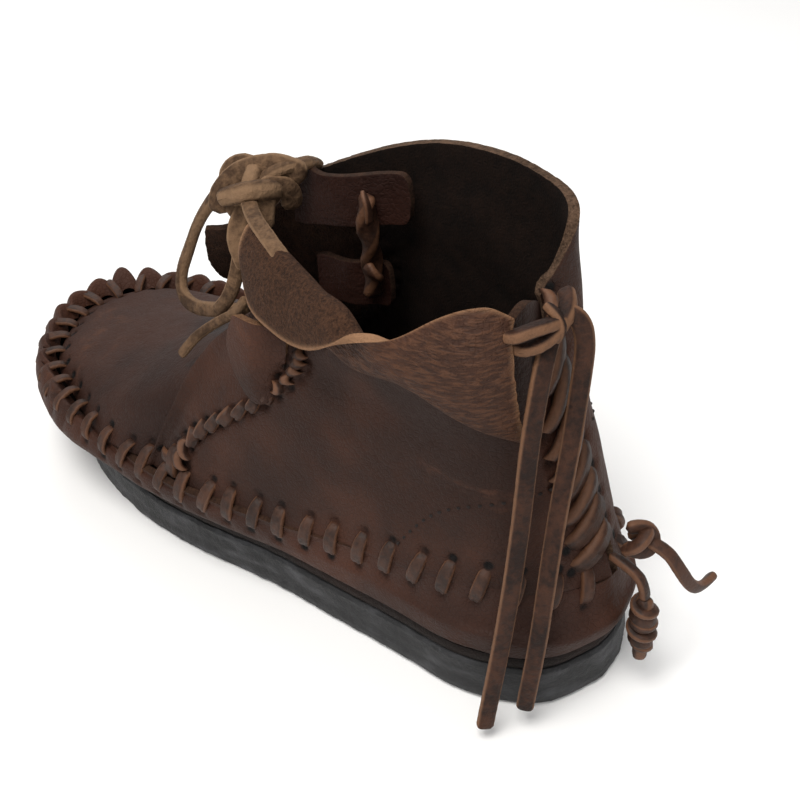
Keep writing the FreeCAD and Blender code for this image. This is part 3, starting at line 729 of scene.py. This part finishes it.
# %% the ends of every bar
samples = []
for skin in (plug_skin, left_skin, right_skin, left_wing_skin, right_wing_skin):
    u, v = (a.ravel() for a in np.meshgrid(np.linspace(0, 1, 120), np.linspace(0, 0.4, 60)))
    if skin is plug_skin:
        v = v * 2.5
    samples.append(skin.at(u, v) / MM)
cloud = np.vstack(samples)
reach = spaced(laced_line)
marks = np.stack([np.interp(np.arange(BARS) / BARS, reach, laced_line[:, k])
                  for k in range(3)], 1)
seam_bars = {"toe_lacing": [], "left_side_lacing": [], "right_side_lacing": []}
for k, spot_mm in enumerate(marks):
    if abs(spot_mm[0]) < 6 and spot_mm[1] < 0:
        continue  # the heel seam comes down here
    along = marks[(k + 1) % BARS] - marks[k - 1]
    along /= np.linalg.norm(along)
    fullest = full_line[np.linalg.norm(full_line - spot_mm, axis=1).argmin()]
    down = (fullest - spot_mm) / np.linalg.norm(fullest - spot_mm)
    toe = ease(spot_mm[1], 30, 90)
    low = spot_mm + down * (5.4 + 5.4 * toe) + (0, 0, 8.4 * toe)
    aim = spot_mm - down * 5.5 + (0, 0, 2)
    high = cloud[np.linalg.norm(cloud - aim, axis=1).argmin()]
    lean = along * (1.6 if spot_mm[0] < 0 else -1.6) * (1 - toe)
    name = "toe_lacing"
    if spot_mm[1] < 30:
        name = "left_side_lacing" if spot_mm[0] < 0 else "right_side_lacing"
    seam_bars[name].append((low + lean, high - lean, along))


def across_seam(first, second, first_u, second_u, rows, slant):
    """Bars from one skin to another, low end on the first."""
    bars = []
    for row in rows:
        low = first.at([first_u], [row - slant])[0] / MM
        high = second.at([second_u], [row + slant])[0] / MM
        bars.append((low, high, np.array([0, 0, 1.0])))
    return bars


seam_bars["heel_seam_lacing"] = across_seam(left_skin, right_skin, 0.922, 0.98,
                                            np.linspace(0.12, 0.93, 9), 0.042)
seam_bars["left_wing_lacing"] = across_seam(left_wing_skin, left_skin, 0.95, 0.014,
                                            np.linspace(0.12, 0.95, 14), -0.045)
seam_bars["left_wing_lacing"] += [
    (np.array([-50.0, 11.0, 52.5]), np.array([-52.6, 12.5, 39.5]), np.array([0, 1.0, 0])),
    (np.array([-50.5, 8.5, 46.5]), np.array([-50.2, 19.0, 47.0]), np.array([0, 0, 1.0]))]
seam_bars["right_wing_lacing"] = across_seam(right_wing_skin, right_skin, 0.95, 0.014,
                                             np.linspace(0.1, 0.92, 14), -0.045)
HOLES = []
for bars in seam_bars.values():
    for low, high, along in bars:
        reach_out = (high - low) / np.linalg.norm(high - low) * 1.3
        HOLES += [low - reach_out, high + reach_out]
HOLES = np.array(HOLES + [(-38.2, -26.5, 94)])
print({name: len(bars) for name, bars in seam_bars.items()})


# %% a hide
def hole_marks(co):
    """1 in the middle of a lace hole, falling to 0 a few mm away."""
    gap = np.full(len(co), 1.0)
    for hole in HOLES * MM:
        gap = np.minimum(gap, np.linalg.norm(co - hole, axis=1))
    return np.exp(-(gap / (2.0 * MM)) ** 2)


def thickened(thing, finishes, thick=LEATHER, bevel=0.55, soft=2):
    """Makes a sheet a hide: finishes for its face, its back and its cut edge."""
    for finish in finishes:
        thing.data.materials.append(finish)
    modify(thing, "SOLIDIFY", thickness=thick * MM, offset=-1, material_offset=1,
           material_offset_rim=2)
    if bevel:
        modify(thing, "BEVEL", width=bevel * MM, segments=soft, limit_method="ANGLE",
               angle_limit=math.radians(50))


def hide(name, skin, across, up, finishes, wave, ragged=0.25, outward=1, pad=None,
         thick=LEATHER, pale=0.0):
    """A leather sheet on a skin; outward is -1 where the net runs the other way.

    wave, ragged and pad(u, v) are in mm; pale is the width of the worn rim, in cells.
    """
    def shape(u, v):
        co, normal = skin.at(u, v), skin.normal(u, v) * outward
        if pad:
            co = co + normal * (pad(u, v) * MM)[:, None]
        inner = np.minimum(np.minimum(u, 1 - u) * across, np.minimum(v, 1 - v) * up)
        rim = np.exp(-inner)
        swell = bumps(co, 0.028, 1) * wave + bumps(co, 0.011, 2) * wave * 0.35
        fray = bumps(co, 0.0021, 4) * ragged * rim
        along = skin.at(np.clip(u + 0.01, 0, 1), v) - skin.at(np.clip(u - 0.01, 0, 1), v)
        along /= np.linalg.norm(along, axis=1)[:, None]
        rise = np.cross(normal, along)
        cell = np.linalg.norm(skin.at(u, np.clip(v + 0.01, 0, 1))
                              - skin.at(u, np.clip(v - 0.01, 0, 1)), axis=1) / (0.02 * up)
        fray = fray * np.clip(cell / MM - 0.2, 0, 1)
        near = hole_marks(co)
        return (co + normal * ((swell - 1.5 * near) * MM)[:, None]
                + (rise + along) * (fray * MM)[:, None])
    thing = grid(name, across, up, shape)
    # the hole mark carries the painted shade of the lace holes
    mark(thing, "hole", hole_marks(places(thing)))
    if pale:
        flat = np.indices((up + 1, across + 1)).reshape(2, -1)
        rest = np.minimum(up - flat[0], np.minimum(flat[1], across - flat[1]) + 0.5)
        mark(thing, "edge", np.exp(-rest / pale))
    if outward < 0:
        edit(thing, (bpy.ops.mesh.flip_normals, {}))
    thickened(thing, finishes, thick)
    return thing


# %% plug, quarters and wings
plug = hide("plug", plug_skin, 140, 120, [plug_grain, inside_flesh_painted_shade, dark_edge], 0.9)
finished(plug, "shoe", [], ["plug"], 60)


def quarter_pad(u, v):
    """The counter inside swells the heel, and the hide creases over the ankle."""
    swell = ease(u, 0.55, 0.75) * (1 - ease(v, 0.35, 0.5)) * 0.9
    crease = np.sin(v * 21 + 5 * u) * ease(v, 0.45, 0.7) * 0.35
    return swell + crease


left_quarter = hide("left_quarter", left_skin, 150, 90,
                    [upper_grain, inside_flesh_painted_shade, dark_edge], 0.7, pad=quarter_pad)
finished(left_quarter, "shoe", [], ["left_quarter"], 60)
right_quarter = hide("right_quarter", right_skin, 140, 100,
                     [upper_grain, inside_flesh_painted_shade, collar_flesh], 0.8, 0.5, -1, quarter_pad,
                     3.2)
finished(right_quarter, "shoe", [], ["right_quarter"], 60)


def wing_pad(u, v):
    return ease(u, 0.16, 0) * 2.0


EAR = [[(-38.5, -23.5, 90), (-37.8, -19.5, 97), (-35.8, -17.5, 104), (-34.5, -21, 113)],
       [(-39, -28, 86), (-39, -26, 96), (-37.5, -25.5, 105), (-35.5, -27, 114)],
       [(-38, -34, 87), (-38.2, -33, 97), (-37, -34, 106), (-35.5, -34, 114)],
       [(-35.5, -38, 92), (-36.5, -39, 99), (-36, -40, 106), (-35, -40, 112)]]
ear_tab = hide("ear_tab", Skin(EAR), 40, 46, [upper_grain, inside_flesh_painted_shade, raw_edge], 0.5, 0.6,
               pad=lambda u, v: 2.8 - 4.6 * ease(u, 0.45, 0.95), thick=3.2)
left_wing = hide("left_wing", left_wing_skin, 60, 90, [upper_grain, inside_flesh_painted_shade, dark_edge],
                 0.6, 0.5, pad=wing_pad)
left_wing = joined("left_wing", [left_wing, ear_tab])
finished(left_wing, "shoe", [], ["left_wing"], 60)
right_wing = hide("right_wing", right_wing_skin, 60, 90,
                  [upper_grain, wing_flesh, dark_edge], 2.6, 0.5, -1, wing_pad)
finished(right_wing, "shoe", [], ["right_wing"], 60)


# %% [markdown]
# ## The slumped collar
# The near side of the collar has gone soft: it bulges out over a crease, and its front
# corner has rolled right over, so that the rough flesh side faces out. It is one sheet
# again.


# %% collar sheet
CUFF_NET = [
    [(-15, -8, 117), (-14.5, -9, 119), (-17.5, -13, 129), (-22, -18, 136.6),
     (-26.3, -19, 132.5), (-27.4, -20, 126)],
    [(-22, -22, 113), (-22, -22, 116), (-24.5, -27, 127), (-27.3, -31.7, 136.4),
     (-32.3, -30, 128), (-32.5, -27, 119)],
    [(-27, -37, 111), (-28, -38, 114), (-29.5, -40, 126), (-30.8, -42.7, 135.4),
     (-36.2, -40, 127), (-36.3, -37, 118)],
    [(-30, -50, 111), (-33, -50, 114.5), (-33.5, -52, 124), (-33.9, -52.9, 135),
     (-39, -52.5, 127), (-39, -52, 117.8)],
    [(-32, -62, 114), (-35.5, -62, 116.5), (-37.5, -62.5, 123), (-36.8, -62.3, 134.4),
     (-40.6, -62.8, 129.5), (-41, -63.5, 121.5)],
    [(-33.5, -74, 115), (-37.5, -74, 117), (-40.5, -75, 121.5), (-39.3, -74, 133.8),
     (-42.6, -75, 132), (-44.2, -75.6, 128.8)],
    [(-34, -84, 116.5), (-38.5, -84, 118.5), (-42, -86, 122.5), (-42.5, -85, 128.5),
     (-42.6, -84.2, 131.4), (-43.6, -84.8, 133)],
    [(-34, -95, 117.5), (-38.8, -95, 119.5), (-42, -95.5, 124), (-42.3, -94.5, 129),
     (-41.3, -93, 133), (-40, -92.3, 135)],
    [(-32, -104, 113), (-37.5, -106, 115.5), (-40.5, -106, 122), (-40, -104.5, 130),
     (-38, -103, 137), (-35.5, -101.5, 141.5)],
    [(-26.5, -112, 107), (-31.5, -115.5, 109), (-35, -116.5, 118), (-34.8, -115.5, 130),
     (-32, -114, 140), (-28.5, -113, 146.5)],
    [(-18.5, -118, 100), (-22, -121.5, 102), (-25, -123, 112), (-25.5, -121.5, 126),
     (-24.5, -120, 136), (-22.5, -119, 142.5)]]
cuff_skin = Skin(CUFF_NET)
left_cuff = hide("left_cuff", cuff_skin, 150, 80, [cuff_grain, lapel_flesh, raw_edge], 0.5,
                 0.7, pale=2.2)
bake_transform(left_cuff)
finished(left_cuff, None, [], ["left_cuff"], 60)


# %% [markdown]
# ## The gathered bottom leather
# Round the toe there is more leather than seam, so every stitch pulls a pleat and the
# hide puffs up between two stitches. The tray is a closed band of lines round the foot;
# between the fullest line and the seam it is pushed out in step with the lacing.


# %% bottom leather
FLOOR_Z, PUFF, ROLL_UP = 21.6, 1.9, 7.5     # mm: underside, pleats, rise at the toe
FAR_TOE, FAR_TOE_REACH = (22, 139), 14      # mm: where the pleats stand highest


def tray_rows():
    """Seven lines round the shoe, from under the insole up to the laced edge."""
    middle = full_line * 0.5 + laced_line * 0.5
    toe = ease(laced_line[:, 1], 35, 100)
    rolled = middle.copy()
    rolled[:, 2] = 36.2 + ROLL_UP * toe
    crest = full_line * 0.22 + laced_line * 0.78
    crest[:, 2] = laced_line[:, 2] - 0.9 + (ROLL_UP - 1.0) * toe
    edge = moved_in(laced_line, -0.8) + (0, 0, 0.9)
    low = moved_in(sole_line, 6)
    return [low * (1, 1, 0) + (0, 0, FLOOR_Z), moved_in(sole_line, 1) * (1, 1, 0)
            + (0, 0, FLOOR_Z + 0.8), sole_line * 0.45 + full_line * 0.55 - (0, 0, 0.8),
            full_line + (0, 0, 0.8), rolled, crest, edge]


rows = np.array(tray_rows())
row_share = np.mean([spaced(rows[:, k]) for k in range(0, ROUND, 40)], axis=0)
stitch_phase = spaced(laced_line) * BARS
toe_share = ease(laced_line[:, 1], 30, 88)


def tray_shape(u, v):
    where = np.rint(u * ROUND).astype(int)
    weights = curve_weights(row_share, v)
    co = np.einsum("nr,rnk->nk", weights, rows[:, where]) * MM
    way = np.gradient(rows[4], axis=0)[where]
    out = np.column_stack([-way[:, 1], way[:, 0], np.zeros(len(way))])
    out /= np.linalg.norm(out, axis=1)[:, None]
    toe = toe_share[where]
    band = ease(v, row_share[3] - 0.06, row_share[4]) * (1 - 0.4 * ease(v, row_share[5], 1))
    far = np.hypot(*(rows[4][where, :2] - FAR_TOE).T)
    uneven = 1 + (0.3 * np.sin(stitch_phase[where] * 2.1)
                  + 1.7 * np.exp(-(far / FAR_TOE_REACH) ** 2)) * toe
    wave = np.abs(np.sin(math.pi * stitch_phase[where]))
    pleat = (wave ** 0.75 - 0.5) * band * (0.35 + PUFF * toe) * uneven
    swell = bumps(co, 0.02, 5) * 0.5 + bumps(co, 0.008, 6) * 0.3
    near = hole_marks(co)
    lift = np.column_stack([out[:, 0], out[:, 1], 0.9 * np.ones(len(out))])
    return co + (lift * pleat[:, None] + out * (swell - near * 1.6)[:, None]) * MM


bottom = grid("moccasin_bottom", ROUND, 44, tray_shape)
# the hole mark carries the painted shade of the lace holes
mark(bottom, "hole", hole_marks(places(bottom)))
edit(bottom, (bpy.ops.mesh.remove_doubles, {"threshold": SEAM_GAP}))
sampled = list(bottom.data.polygons)[::97]
inward = [p.normal.dot(p.center - Vector((0, p.center.y, 0.03))) < 0 for p in sampled]
if sum(inward) > len(sampled) / 2:
    edit(bottom, (bpy.ops.mesh.flip_normals, {}))
thickened(bottom, (bottom_grain, inside_flesh_painted_shade, dark_edge), bevel=0)
finished(bottom, "shoe", [], ["moccasin_bottom"], 60)


# %% [markdown]
# ## The seam lacing
# All the bars are the same lace, so one bar is modelled and copied. A bar is a short
# strip that comes up from one hole, arches over the seam and goes down the next hole.


# %% one bar, and its copies
deselect()
bpy.ops.mesh.primitive_cylinder_add(vertices=14, radius=0.5, depth=1,
                                    end_fill_type="TRIFAN")
pattern_bar = bpy.context.object
bpy.ops.object.mode_set(mode="EDIT")
for height in np.linspace(-0.5, 0.5, 14)[1:-1]:
    bpy.ops.mesh.select_all(action="SELECT")
    bpy.ops.mesh.bisect(plane_co=(0, 0, height), plane_no=(0, 0, 1))
bpy.ops.object.mode_set(mode="OBJECT")
bar_form = places(pattern_bar)
angle = np.arctan2(bar_form[:, 1], bar_form[:, 0])
size_out = np.hypot(bar_form[:, 0], bar_form[:, 1]) * 2
print("bar pattern", len(bar_form), "points")


def bar_copy(low, high, along, width, thick, rise, dip):
    """A copy of the bar between two places, all in mm.

    rise is its height over the seam and dip is how far its ends go into the holes.
    """
    span = high - low
    long_way = span / np.linalg.norm(span)
    out = np.cross(along, long_way)
    out /= np.linalg.norm(out)
    inside = np.array([0, (low + high)[1] * 0.45, 20.0])
    if out @ ((low + high) / 2 - inside) < 0:
        out = -out
    across = np.cross(long_way, out)
    t = bar_form[:, 2] + 0.5
    arch = np.sin(math.pi * t)
    taper = 0.72 + 0.28 * np.sqrt(np.clip(arch, 0, 1))
    flat = np.sign(np.cos(angle)) * np.abs(np.cos(angle)) ** 0.75 * size_out
    deep = np.sign(np.sin(angle)) * np.abs(np.sin(angle)) ** 0.85 * size_out
    centre = (low + long_way * (t * np.linalg.norm(span))[:, None]
              + out * (rise * arch ** 0.6 - dip * (1 - arch) ** 2)[:, None])
    thing = pattern_bar.copy()
    thing.data = pattern_bar.data.copy()
    bpy.context.scene.collection.objects.link(thing)
    wander = noise.noise(Vector(low) * 0.37)
    roll = 0.5 * wander
    side_way = across * math.cos(roll) + out * math.sin(roll)
    up_way = out * math.cos(roll) - across * math.sin(roll)
    co = (centre + side_way * (flat * taper * width / 2 * (1 + 0.2 * wander))[:, None]
          + up_way * (deep * thick / 2 * (1 - 0.3 * np.exp(-(flat / 0.28) ** 2)))[:, None])
    rough = bumps(co * MM, 0.0018, 7)
    put(thing, (co + up_way * (rough * 0.22)[:, None]) * MM)
    mark(thing, "rim", np.abs(flat) ** 1.5)
    return thing


# width, thickness, rise and dip of the bars, in mm
BAR_SIZES = {"toe_lacing": (4.2, 2.6, 1.9, 1.0), "left_side_lacing": (4.7, 3.2, 1.3, 1.5),
             "right_side_lacing": (4.7, 3.2, 1.3, 1.5),
             "heel_seam_lacing": (8.2, 4.8, 2.2, 1.0),
             "left_wing_lacing": (4.6, 3.8, 1.1, 1.0),
             "right_wing_lacing": (4.6, 3.8, 1.1, 1.0)}
for name, bars in seam_bars.items():
    copies = [bar_copy(low, high, along, *BAR_SIZES[name]) for low, high, along in bars]
    finished(joined(name, copies), "shoe", [seam_lace], [name], 60)
bpy.data.objects.remove(pattern_bar)


# %% [markdown]
# ## The sole
# A moccasin can be resoled: a thin leather midsole is stitched to the bottom leather
# and a rubber outsole is glued under it. Each layer is a closed band with its own
# profile, rounded at its edges.


# %% layers of the sole
def layer(name, base, profile, rough):
    """A closed layer: profile rows are (inset mm, height mm, share towards the middle)."""
    lines = []
    for inset_mm, height, share in profile:
        line = moved_in(base, inset_mm) if inset_mm else base.copy()
        line = line * (1 - share)
        line[:, 2] = height
        lines.append(line)
    lines = np.array(lines)

    def shape(u, v):
        where = np.rint(u * ROUND).astype(int)
        place = v * (len(lines) - 1)
        low = np.clip(place.astype(int), 0, len(lines) - 2)
        part = (place - low)[:, None]
        co = lines[low, where] * (1 - part) + lines[low + 1, where] * part
        wear = bumps(co * MM, 0.006, 8) * rough + bumps(co * MM, 0.002, 9) * rough * 0.6
        out = co * (1, 1, 0)
        out /= np.maximum(np.linalg.norm(out, axis=1), 1)[:, None]
        side = lines[low, where, 2] > 0.5
        co = co + out * (wear * side)[:, None]
        return co * MM
    thing = grid(name, ROUND, (len(lines) - 1) * 2, shape)
    close_seam(thing)
    return thing


outsole = layer("outsole_rubber", sole_line, [
    (0, 0.0, 1), (0, 0.0, 0.4), (3, 0.0, 0), (0.9, 0.05, 0), (0.1, 1.2, 0), (-0.2, 4, 0),
    (0.15, 7, 0), (-0.1, 10, 0), (0.1, 13, 0), (0, 15.4, 0), (0.9, 16.5, 0), (5, 16.5, 0),
    (0, 16.5, 0.4), (0, 16.5, 1)], 0.45)
finished(outsole, "shoe", [rubber], ["outsole"], 40)
midsole = layer("midsole_leather_layer", sole_line, [
    (0, 16.6, 1), (0, 16.6, 0.4), (3, 16.6, 0), (1.4, 16.8, 0), (0.9, 18, 0),
    (1.1, 19.6, 0), (1.7, 20.8, 0), (4, 21, 0), (0, 21, 0.4), (0, 21, 1)], 0.25)
finished(midsole, "shoe", [midsole_leather], ["midsole"], 40)
sock = layer("felt_sock", moved_in(sole_line, 9), [
    (0, 24.5, 1), (0, 24.5, 0.4), (0.6, 24.6, 0), (0, 25.6, 0), (0.2, 26.8, 0),
    (1.2, 27.3, 0), (0, 27.4, 0.4), (0, 27.4, 1)], 0.3)
finished(sock, "shoe", [felt], ["insole"], 40)


# %% [markdown]
# ## Heel counter, throat straps and thong
# A stiff counter sits inside the heel. Two straps with rounded ends hang inside the
# throat, joined by a twisted thong; the upper one curls at its front end.


# %% counter
counter_columns = []
for skin, shares, inward in ((left_skin, (0.62, 0.7, 0.78, 0.85, 0.91, 0.955), -1),
                             (right_skin, (0.955, 0.91, 0.85, 0.78, 0.7, 0.62), 1)):
    for share in shares:
        u, v = np.full(5, share), np.array([0.08, 0.17, 0.27, 0.37, 0.47])
        column = skin.at(u, v) + skin.normal(u, v) * inward * 4.7 * MM
        counter_columns.append((column / MM).tolist())
counter = hide("heel_counter", Skin(counter_columns), 80, 24,
               [inside_flesh_painted_shade, inside_flesh_painted_shade, dark_edge], 0.2, thick=2.0)
finished(counter, "shoe", [], ["heel_counter"], 60)


# %% straps
def throat_strap(name, front, rear, length, height, curl):
    """A strap from front towards rear, in mm; curl rolls its front end outwards."""
    way = np.array(rear, float) - np.array(front, float)
    way /= np.linalg.norm(way)
    out = np.cross(way, (0, 0, 1.0))
    out /= np.linalg.norm(out)

    def shape(u, v):
        tail = np.clip(1 - (np.clip(u - 0.86, 0, 1) / 0.14) ** 3.4, 0.003, 1) ** 0.35
        nose = 1 - 0.12 * ease(u, 0.1, 0)
        tall = 0.5 + (v - 0.5) * tail * nose
        bend = ease(u, 0.3, 0) ** 1.5
        wave = np.sin(u * 9 + 0.6) * 1.5
        co = (np.array(front) + way * (u * length - bend * 2.0)[:, None]
              + np.array([0, 0, 1.0]) * (tall * height + bend * curl * v)[:, None]
              - out * (bend * curl * 0.9 * v + wave * 0.6)[:, None])
        return co * MM
    thing = grid(name, 70, 28, shape)
    if np.mean([p.normal[0] for p in thing.data.polygons]) > 0:
        edit(thing, (bpy.ops.mesh.flip_normals, {}))
    thickened(thing, (strap_grain, inside_flesh_painted_shade, dark_edge), 2.4, 0.5)
    finished(thing, "throat_straps", [], [name], 60)


throat_strap("throat_upper_strap", (7.7, -5.8, 120.8), (21, -50, 128), 43, 18, 4.0)
throat_strap("throat_lower_strap", (12, -9, 90), (20, -35, 92), 27, 17, 1.0)


# %% thong
THONG = [(13.9, -33.4, 138), (12.5, -33.6, 132), (12.8, -33.2, 124), (15.6, -31, 114),
         (17.0, -29.2, 106), (16.6, -29, 96)]
thong_parts = [
    lace_mesh("thong_a", spline_line(THONG, "thong"), 7.6, 5.0, (0, 240, 480),
              (-1, 0, 0), around=12),
    lace_mesh("thong_b", spline_line([(12.4, -33.5, 138), (10.5, -35, 139.5), (10.3, -37, 135),
                                      (10.8, -36.5, 129)], "thong_end"), 3.4, 1.8, (0, 50),
              (-1, 0, 0), around=12),
    lace_mesh("thong_c", spline_line([(12.6, -31, 112), (12.2, -34, 109), (15, -34, 106),
                                      (17, -30, 107), (15, -27.5, 110)], "thong_turn"),
              5.0, 3.0, (0, 40), (-1, 0, 0), around=12)]
finished(joined("throat_thong", thong_parts), "throat_straps", [seam_lace],
         ["throat_thong"], 60)


# %% [markdown]
# ## Knots
# A knot is the same lace passing over and under itself, so each one is a few short
# strands laid round a middle. The tie at the throat is thick rough suede; the one at
# the heel is a flat lace through a slot in the collar.


# %% strands of a knot
def strands(name, body, finish, parts, swell=1.0):
    """Strands joined to one piece; each part is (points, width, thick, roll, flat)."""
    made = []
    for k, (points, width, thick, roll, flat) in enumerate(parts):
        line = spline_line(points, f"{name}_line")
        made.append(lace_mesh(f"{name}_{k}", line, width * swell, thick * swell, roll, flat,
                              fuzz=0.09))
    finished(joined(name, made), body, [finish], [name], 60)


strands("front_tie_knot", "shoe", tie_suede, [
    ([(-15, 7, 131), (-12, 8.5, 136.5), (-6, 7, 141), (0, 1, 143.6), (5, -6, 143.6),
      (8, -12, 140)], 6.0, 4.2, (0, 30), (0, 0, 1)),
    ([(-10, -4, 136), (-15.5, -3, 130.5), (-18, -4, 124), (-18, -8, 117)], 5.6, 2.4,
     (0, 10), (-0.7, -0.6, 0.3)),
    ([(-7, -5.5, 141), (-3, -8, 140), (1, -9.4, 138.6), (3, -9.8, 135), (2, -9, 130)], 5.2,
     3.4, (0, 20), (-0.6, -0.6, 0.5)),
    ([(-14, 3, 131), (-11, -1, 136), (-6, -5, 137.5), (-1, -9, 137)], 4.6, 3.4, (0, 20),
     (-0.5, -0.5, 0.7)),
    ([(-13, 5, 137), (-14.5, -2, 140.5), (-11, -8.5, 142.5), (-5, -9.5, 140.5),
      (-4, -4, 137), (-8.5, 3, 135), (-13, 5, 135.5)], 6.2, 4.4, (0, 0), (0, 0, 1)),
    ([(-3, 10, 135), (1, 9, 140), (-1, 2, 142), (-7, -2, 140), (-10.5, -2, 135),
      (-8, 4, 130.5), (-3, 9, 132)], 6.0, 4.4, (0, 40), (-1, 0, 0)),
    ([(-7, -7, 140), (-10.5, -8.5, 135), (-11.4, -8.6, 128.5)], 6.4, 3.2, (0, 10),
     (-1, -0.6, 0)),
    ([(-5, 12, 134), (-2, 15, 139), (3, 12, 140.5), (3, 5, 138), (-2, 1, 135)], 6.0, 4.2,
     (0, 30), (0, 0, 1)),
    ([(-8, 3, 131), (-12, 1, 127), (-15, -1.5, 121), (-14.5, -5, 117), (-11, -5, 121),
      (-8, -3, 127)], 5.0, 3.2, (0, 35), (-1, -0.5, 0))], 1.45)
strands("front_strap_strand", "shoe", tie_suede, [
    ([(-5, -2, 139), (-2, -5, 143.5), (4, -7.8, 144.6), (9, -8.3, 143.2), (15, -7, 141.6),
      (21.7, -2.6, 137.1)], 5.8, 3.8, (0, 20), (0, 0, 1))])
strands("front_cuff_strand", "shoe", tie_suede, [
    ([(-9, -2, 137.5), (-15, -9, 139.6), (-21.5, -19, 140), (-26, -29, 139.4),
      (-30, -40, 137.4), (-31, -43.5, 133.5)], 5.2, 2.4, (0, 15), (0, 0, 1))])
strands("rear_tie_knot", "shoe", tail_lace, [
    ([(-21, -113, 139), (-25.5, -118.5, 137), (-22, -122.8, 139.5), (-16, -125.5, 139.5),
      (-9, -126.6, 138.6), (-4, -124.5, 138)], 5.4, 3.8, (0, 20), (-0.3, -0.8, 0.5)),
    ([(-19, -114, 135), (-24, -119.8, 133), (-18, -125.2, 134.5), (-11.5, -127, 139),
      (-6.5, -125, 142), (-3, -121, 142)], 5.0, 3.8, (0, 30), (-0.3, -0.8, 0.5)),
    ([(-12, -121, 142), (-13, -126.5, 141), (-13.4, -128, 137.5), (-13.3, -125.5, 133.5)],
     4.6, 3.0, (0, 10), (0, -1, 0))])
strands("heel_overhand_knot", "shoe", seam_lace, [
    ([(0, -143, 57), (-1.5, -147, 60), (1, -149, 63), (5, -148, 63.5), (6.5, -144.5, 60),
      (4, -142, 57.5)], 4.6, 3.2, (0, 40), (0, -1, 0)),
    ([(1, -142.5, 64), (5, -146, 65), (7, -149, 61), (4.5, -150, 57.5), (0.5, -147.5, 57),
      (-1, -143, 59)], 4.6, 3.2, (0, -40), (0, -1, 0))])
strands("heel_barrel_lace", "heel_barrel", seam_lace, [
    ([(-1, -152.2, 41.2), (-1, -151.8, 46.5), (-1, -148, 51.5), (-1, -138.7, 52.8)], 3.6,
     3.0, (0, 20), (0, -1, 0.3))])


# %% the coil knot at the heel
BARREL_TOP = np.array([-1, -152.2, 41.0])
turns = 6.2
steps = np.linspace(0, 1, int(turns * 10))
girth = 3.1 * (0.62 + 0.45 * np.sin(math.pi * np.clip(steps * 0.85 + 0.14, 0, 1)))
coil = BARREL_TOP + np.column_stack([
    np.cos(steps * turns * 2 * math.pi) * girth, np.sin(steps * turns * 2 * math.pi) * girth,
    -1.0 - steps * 21])
barrel_parts = [lace_mesh("coil", coil * MM, 4.2, 2.4, (35, 35), (1, 0, 0), around=12),
                lace_mesh("core", (BARREL_TOP + np.array([[0, 0, 1.5], [0.3, 0, -6],
                          [0, 0.3, -13], [0, 0, -21], [0.4, 0.4, -27]])) * MM, 5.4, 4.6,
                          (0, 60), (1, 0, 0), around=12)]
finished(joined("heel_barrel_knot", barrel_parts), "heel_barrel", [seam_lace],
         ["heel_barrel_knot"], 60)


# %% [markdown]
# ## Thread
# The counter is held by a line of small machine stitches, and the midsole by a row of
# heavy ones. One stitch is modelled and copied along each line.


# %% stitches
deselect()
bpy.ops.mesh.primitive_uv_sphere_add(segments=8, ring_count=6, radius=0.5)
stitch_pattern = bpy.context.object
stitch_form = places(stitch_pattern)


def stitch(start, end, out, girth):
    """One stitch between two places, its ends sunk into the leather; in metres."""
    way = end - start
    long_way = way / np.linalg.norm(way)
    across = np.cross(long_way, out)
    thing = stitch_pattern.copy()
    thing.data = stitch_pattern.data.copy()
    bpy.context.scene.collection.objects.link(thing)
    sag = (np.abs(stitch_form[:, 2]) * 2) ** 2 * girth * 0.5
    put(thing, (start + end) / 2 + long_way * (stitch_form[:, 2]
        * np.linalg.norm(way))[:, None] + across * (stitch_form[:, 0] * girth)[:, None]
        + out * (stitch_form[:, 1] * girth - sag)[:, None])
    return thing


def stitched(name, line, out, count, girth):
    """A row of stitches along a line in metres, with gaps as long as the stitches."""
    rows = np.interp(np.arange(count * 2) / (count * 2), spaced(line),
                     np.arange(len(line))).astype(int)
    made = [stitch(line[a], line[b], out[a], girth * MM)
            for a, b in zip(rows[0::2], rows[1::2]) if b > a]
    finished(joined(name, made), "shoe", [thread], [name])


COUNTER_PITCH, WELT_STITCHES, WELT_Z = 3.6, 36, 21.2  # mm, number, mm
COUNTER_SEAM = np.array([(0.52, 0.06), (0.55, 0.16), (0.61, 0.3), (0.7, 0.39),
                         (0.83, 0.45), (0.93, 0.47)])
share = curve_weights(spaced(COUNTER_SEAM), np.linspace(0, 1, 400)) @ COUNTER_SEAM
for name, skin, outward, wave in (("left_counter_stitching", left_skin, 1, 0.7),
                                  ("right_counter_stitching", right_skin, -1, 0.8)):
    normal = skin.normal(share[:, 0], share[:, 1]) * outward
    raised = quarter_pad(share[:, 0], share[:, 1])
    line = skin.at(share[:, 0], share[:, 1]) + normal * (raised * MM)[:, None]
    swell = bumps(line, 0.028, 1) * wave + bumps(line, 0.011, 2) * wave * 0.35
    line = line + normal * ((swell + 0.05) * MM)[:, None]
    total = np.linalg.norm(np.diff(line, axis=0), axis=1).sum()
    stitched(name, line, normal, int(total / (COUNTER_PITCH * MM)), 1.0)

welt_line = moved_in(sole_line, 2.6)
heel_part = welt_line[welt_line[:, 1] < -40]
order = np.argsort(np.arctan2(heel_part[:, 0], -(heel_part[:, 1] + 80)))
heel_part = heel_part[order] * MM
heel_part[:, 2] = WELT_Z * MM
stitched("welt_stitching", heel_part, np.tile([0, 0, 1.0], (len(heel_part), 1)),
         WELT_STITCHES, 1.5)
bpy.data.objects.remove(stitch_pattern)
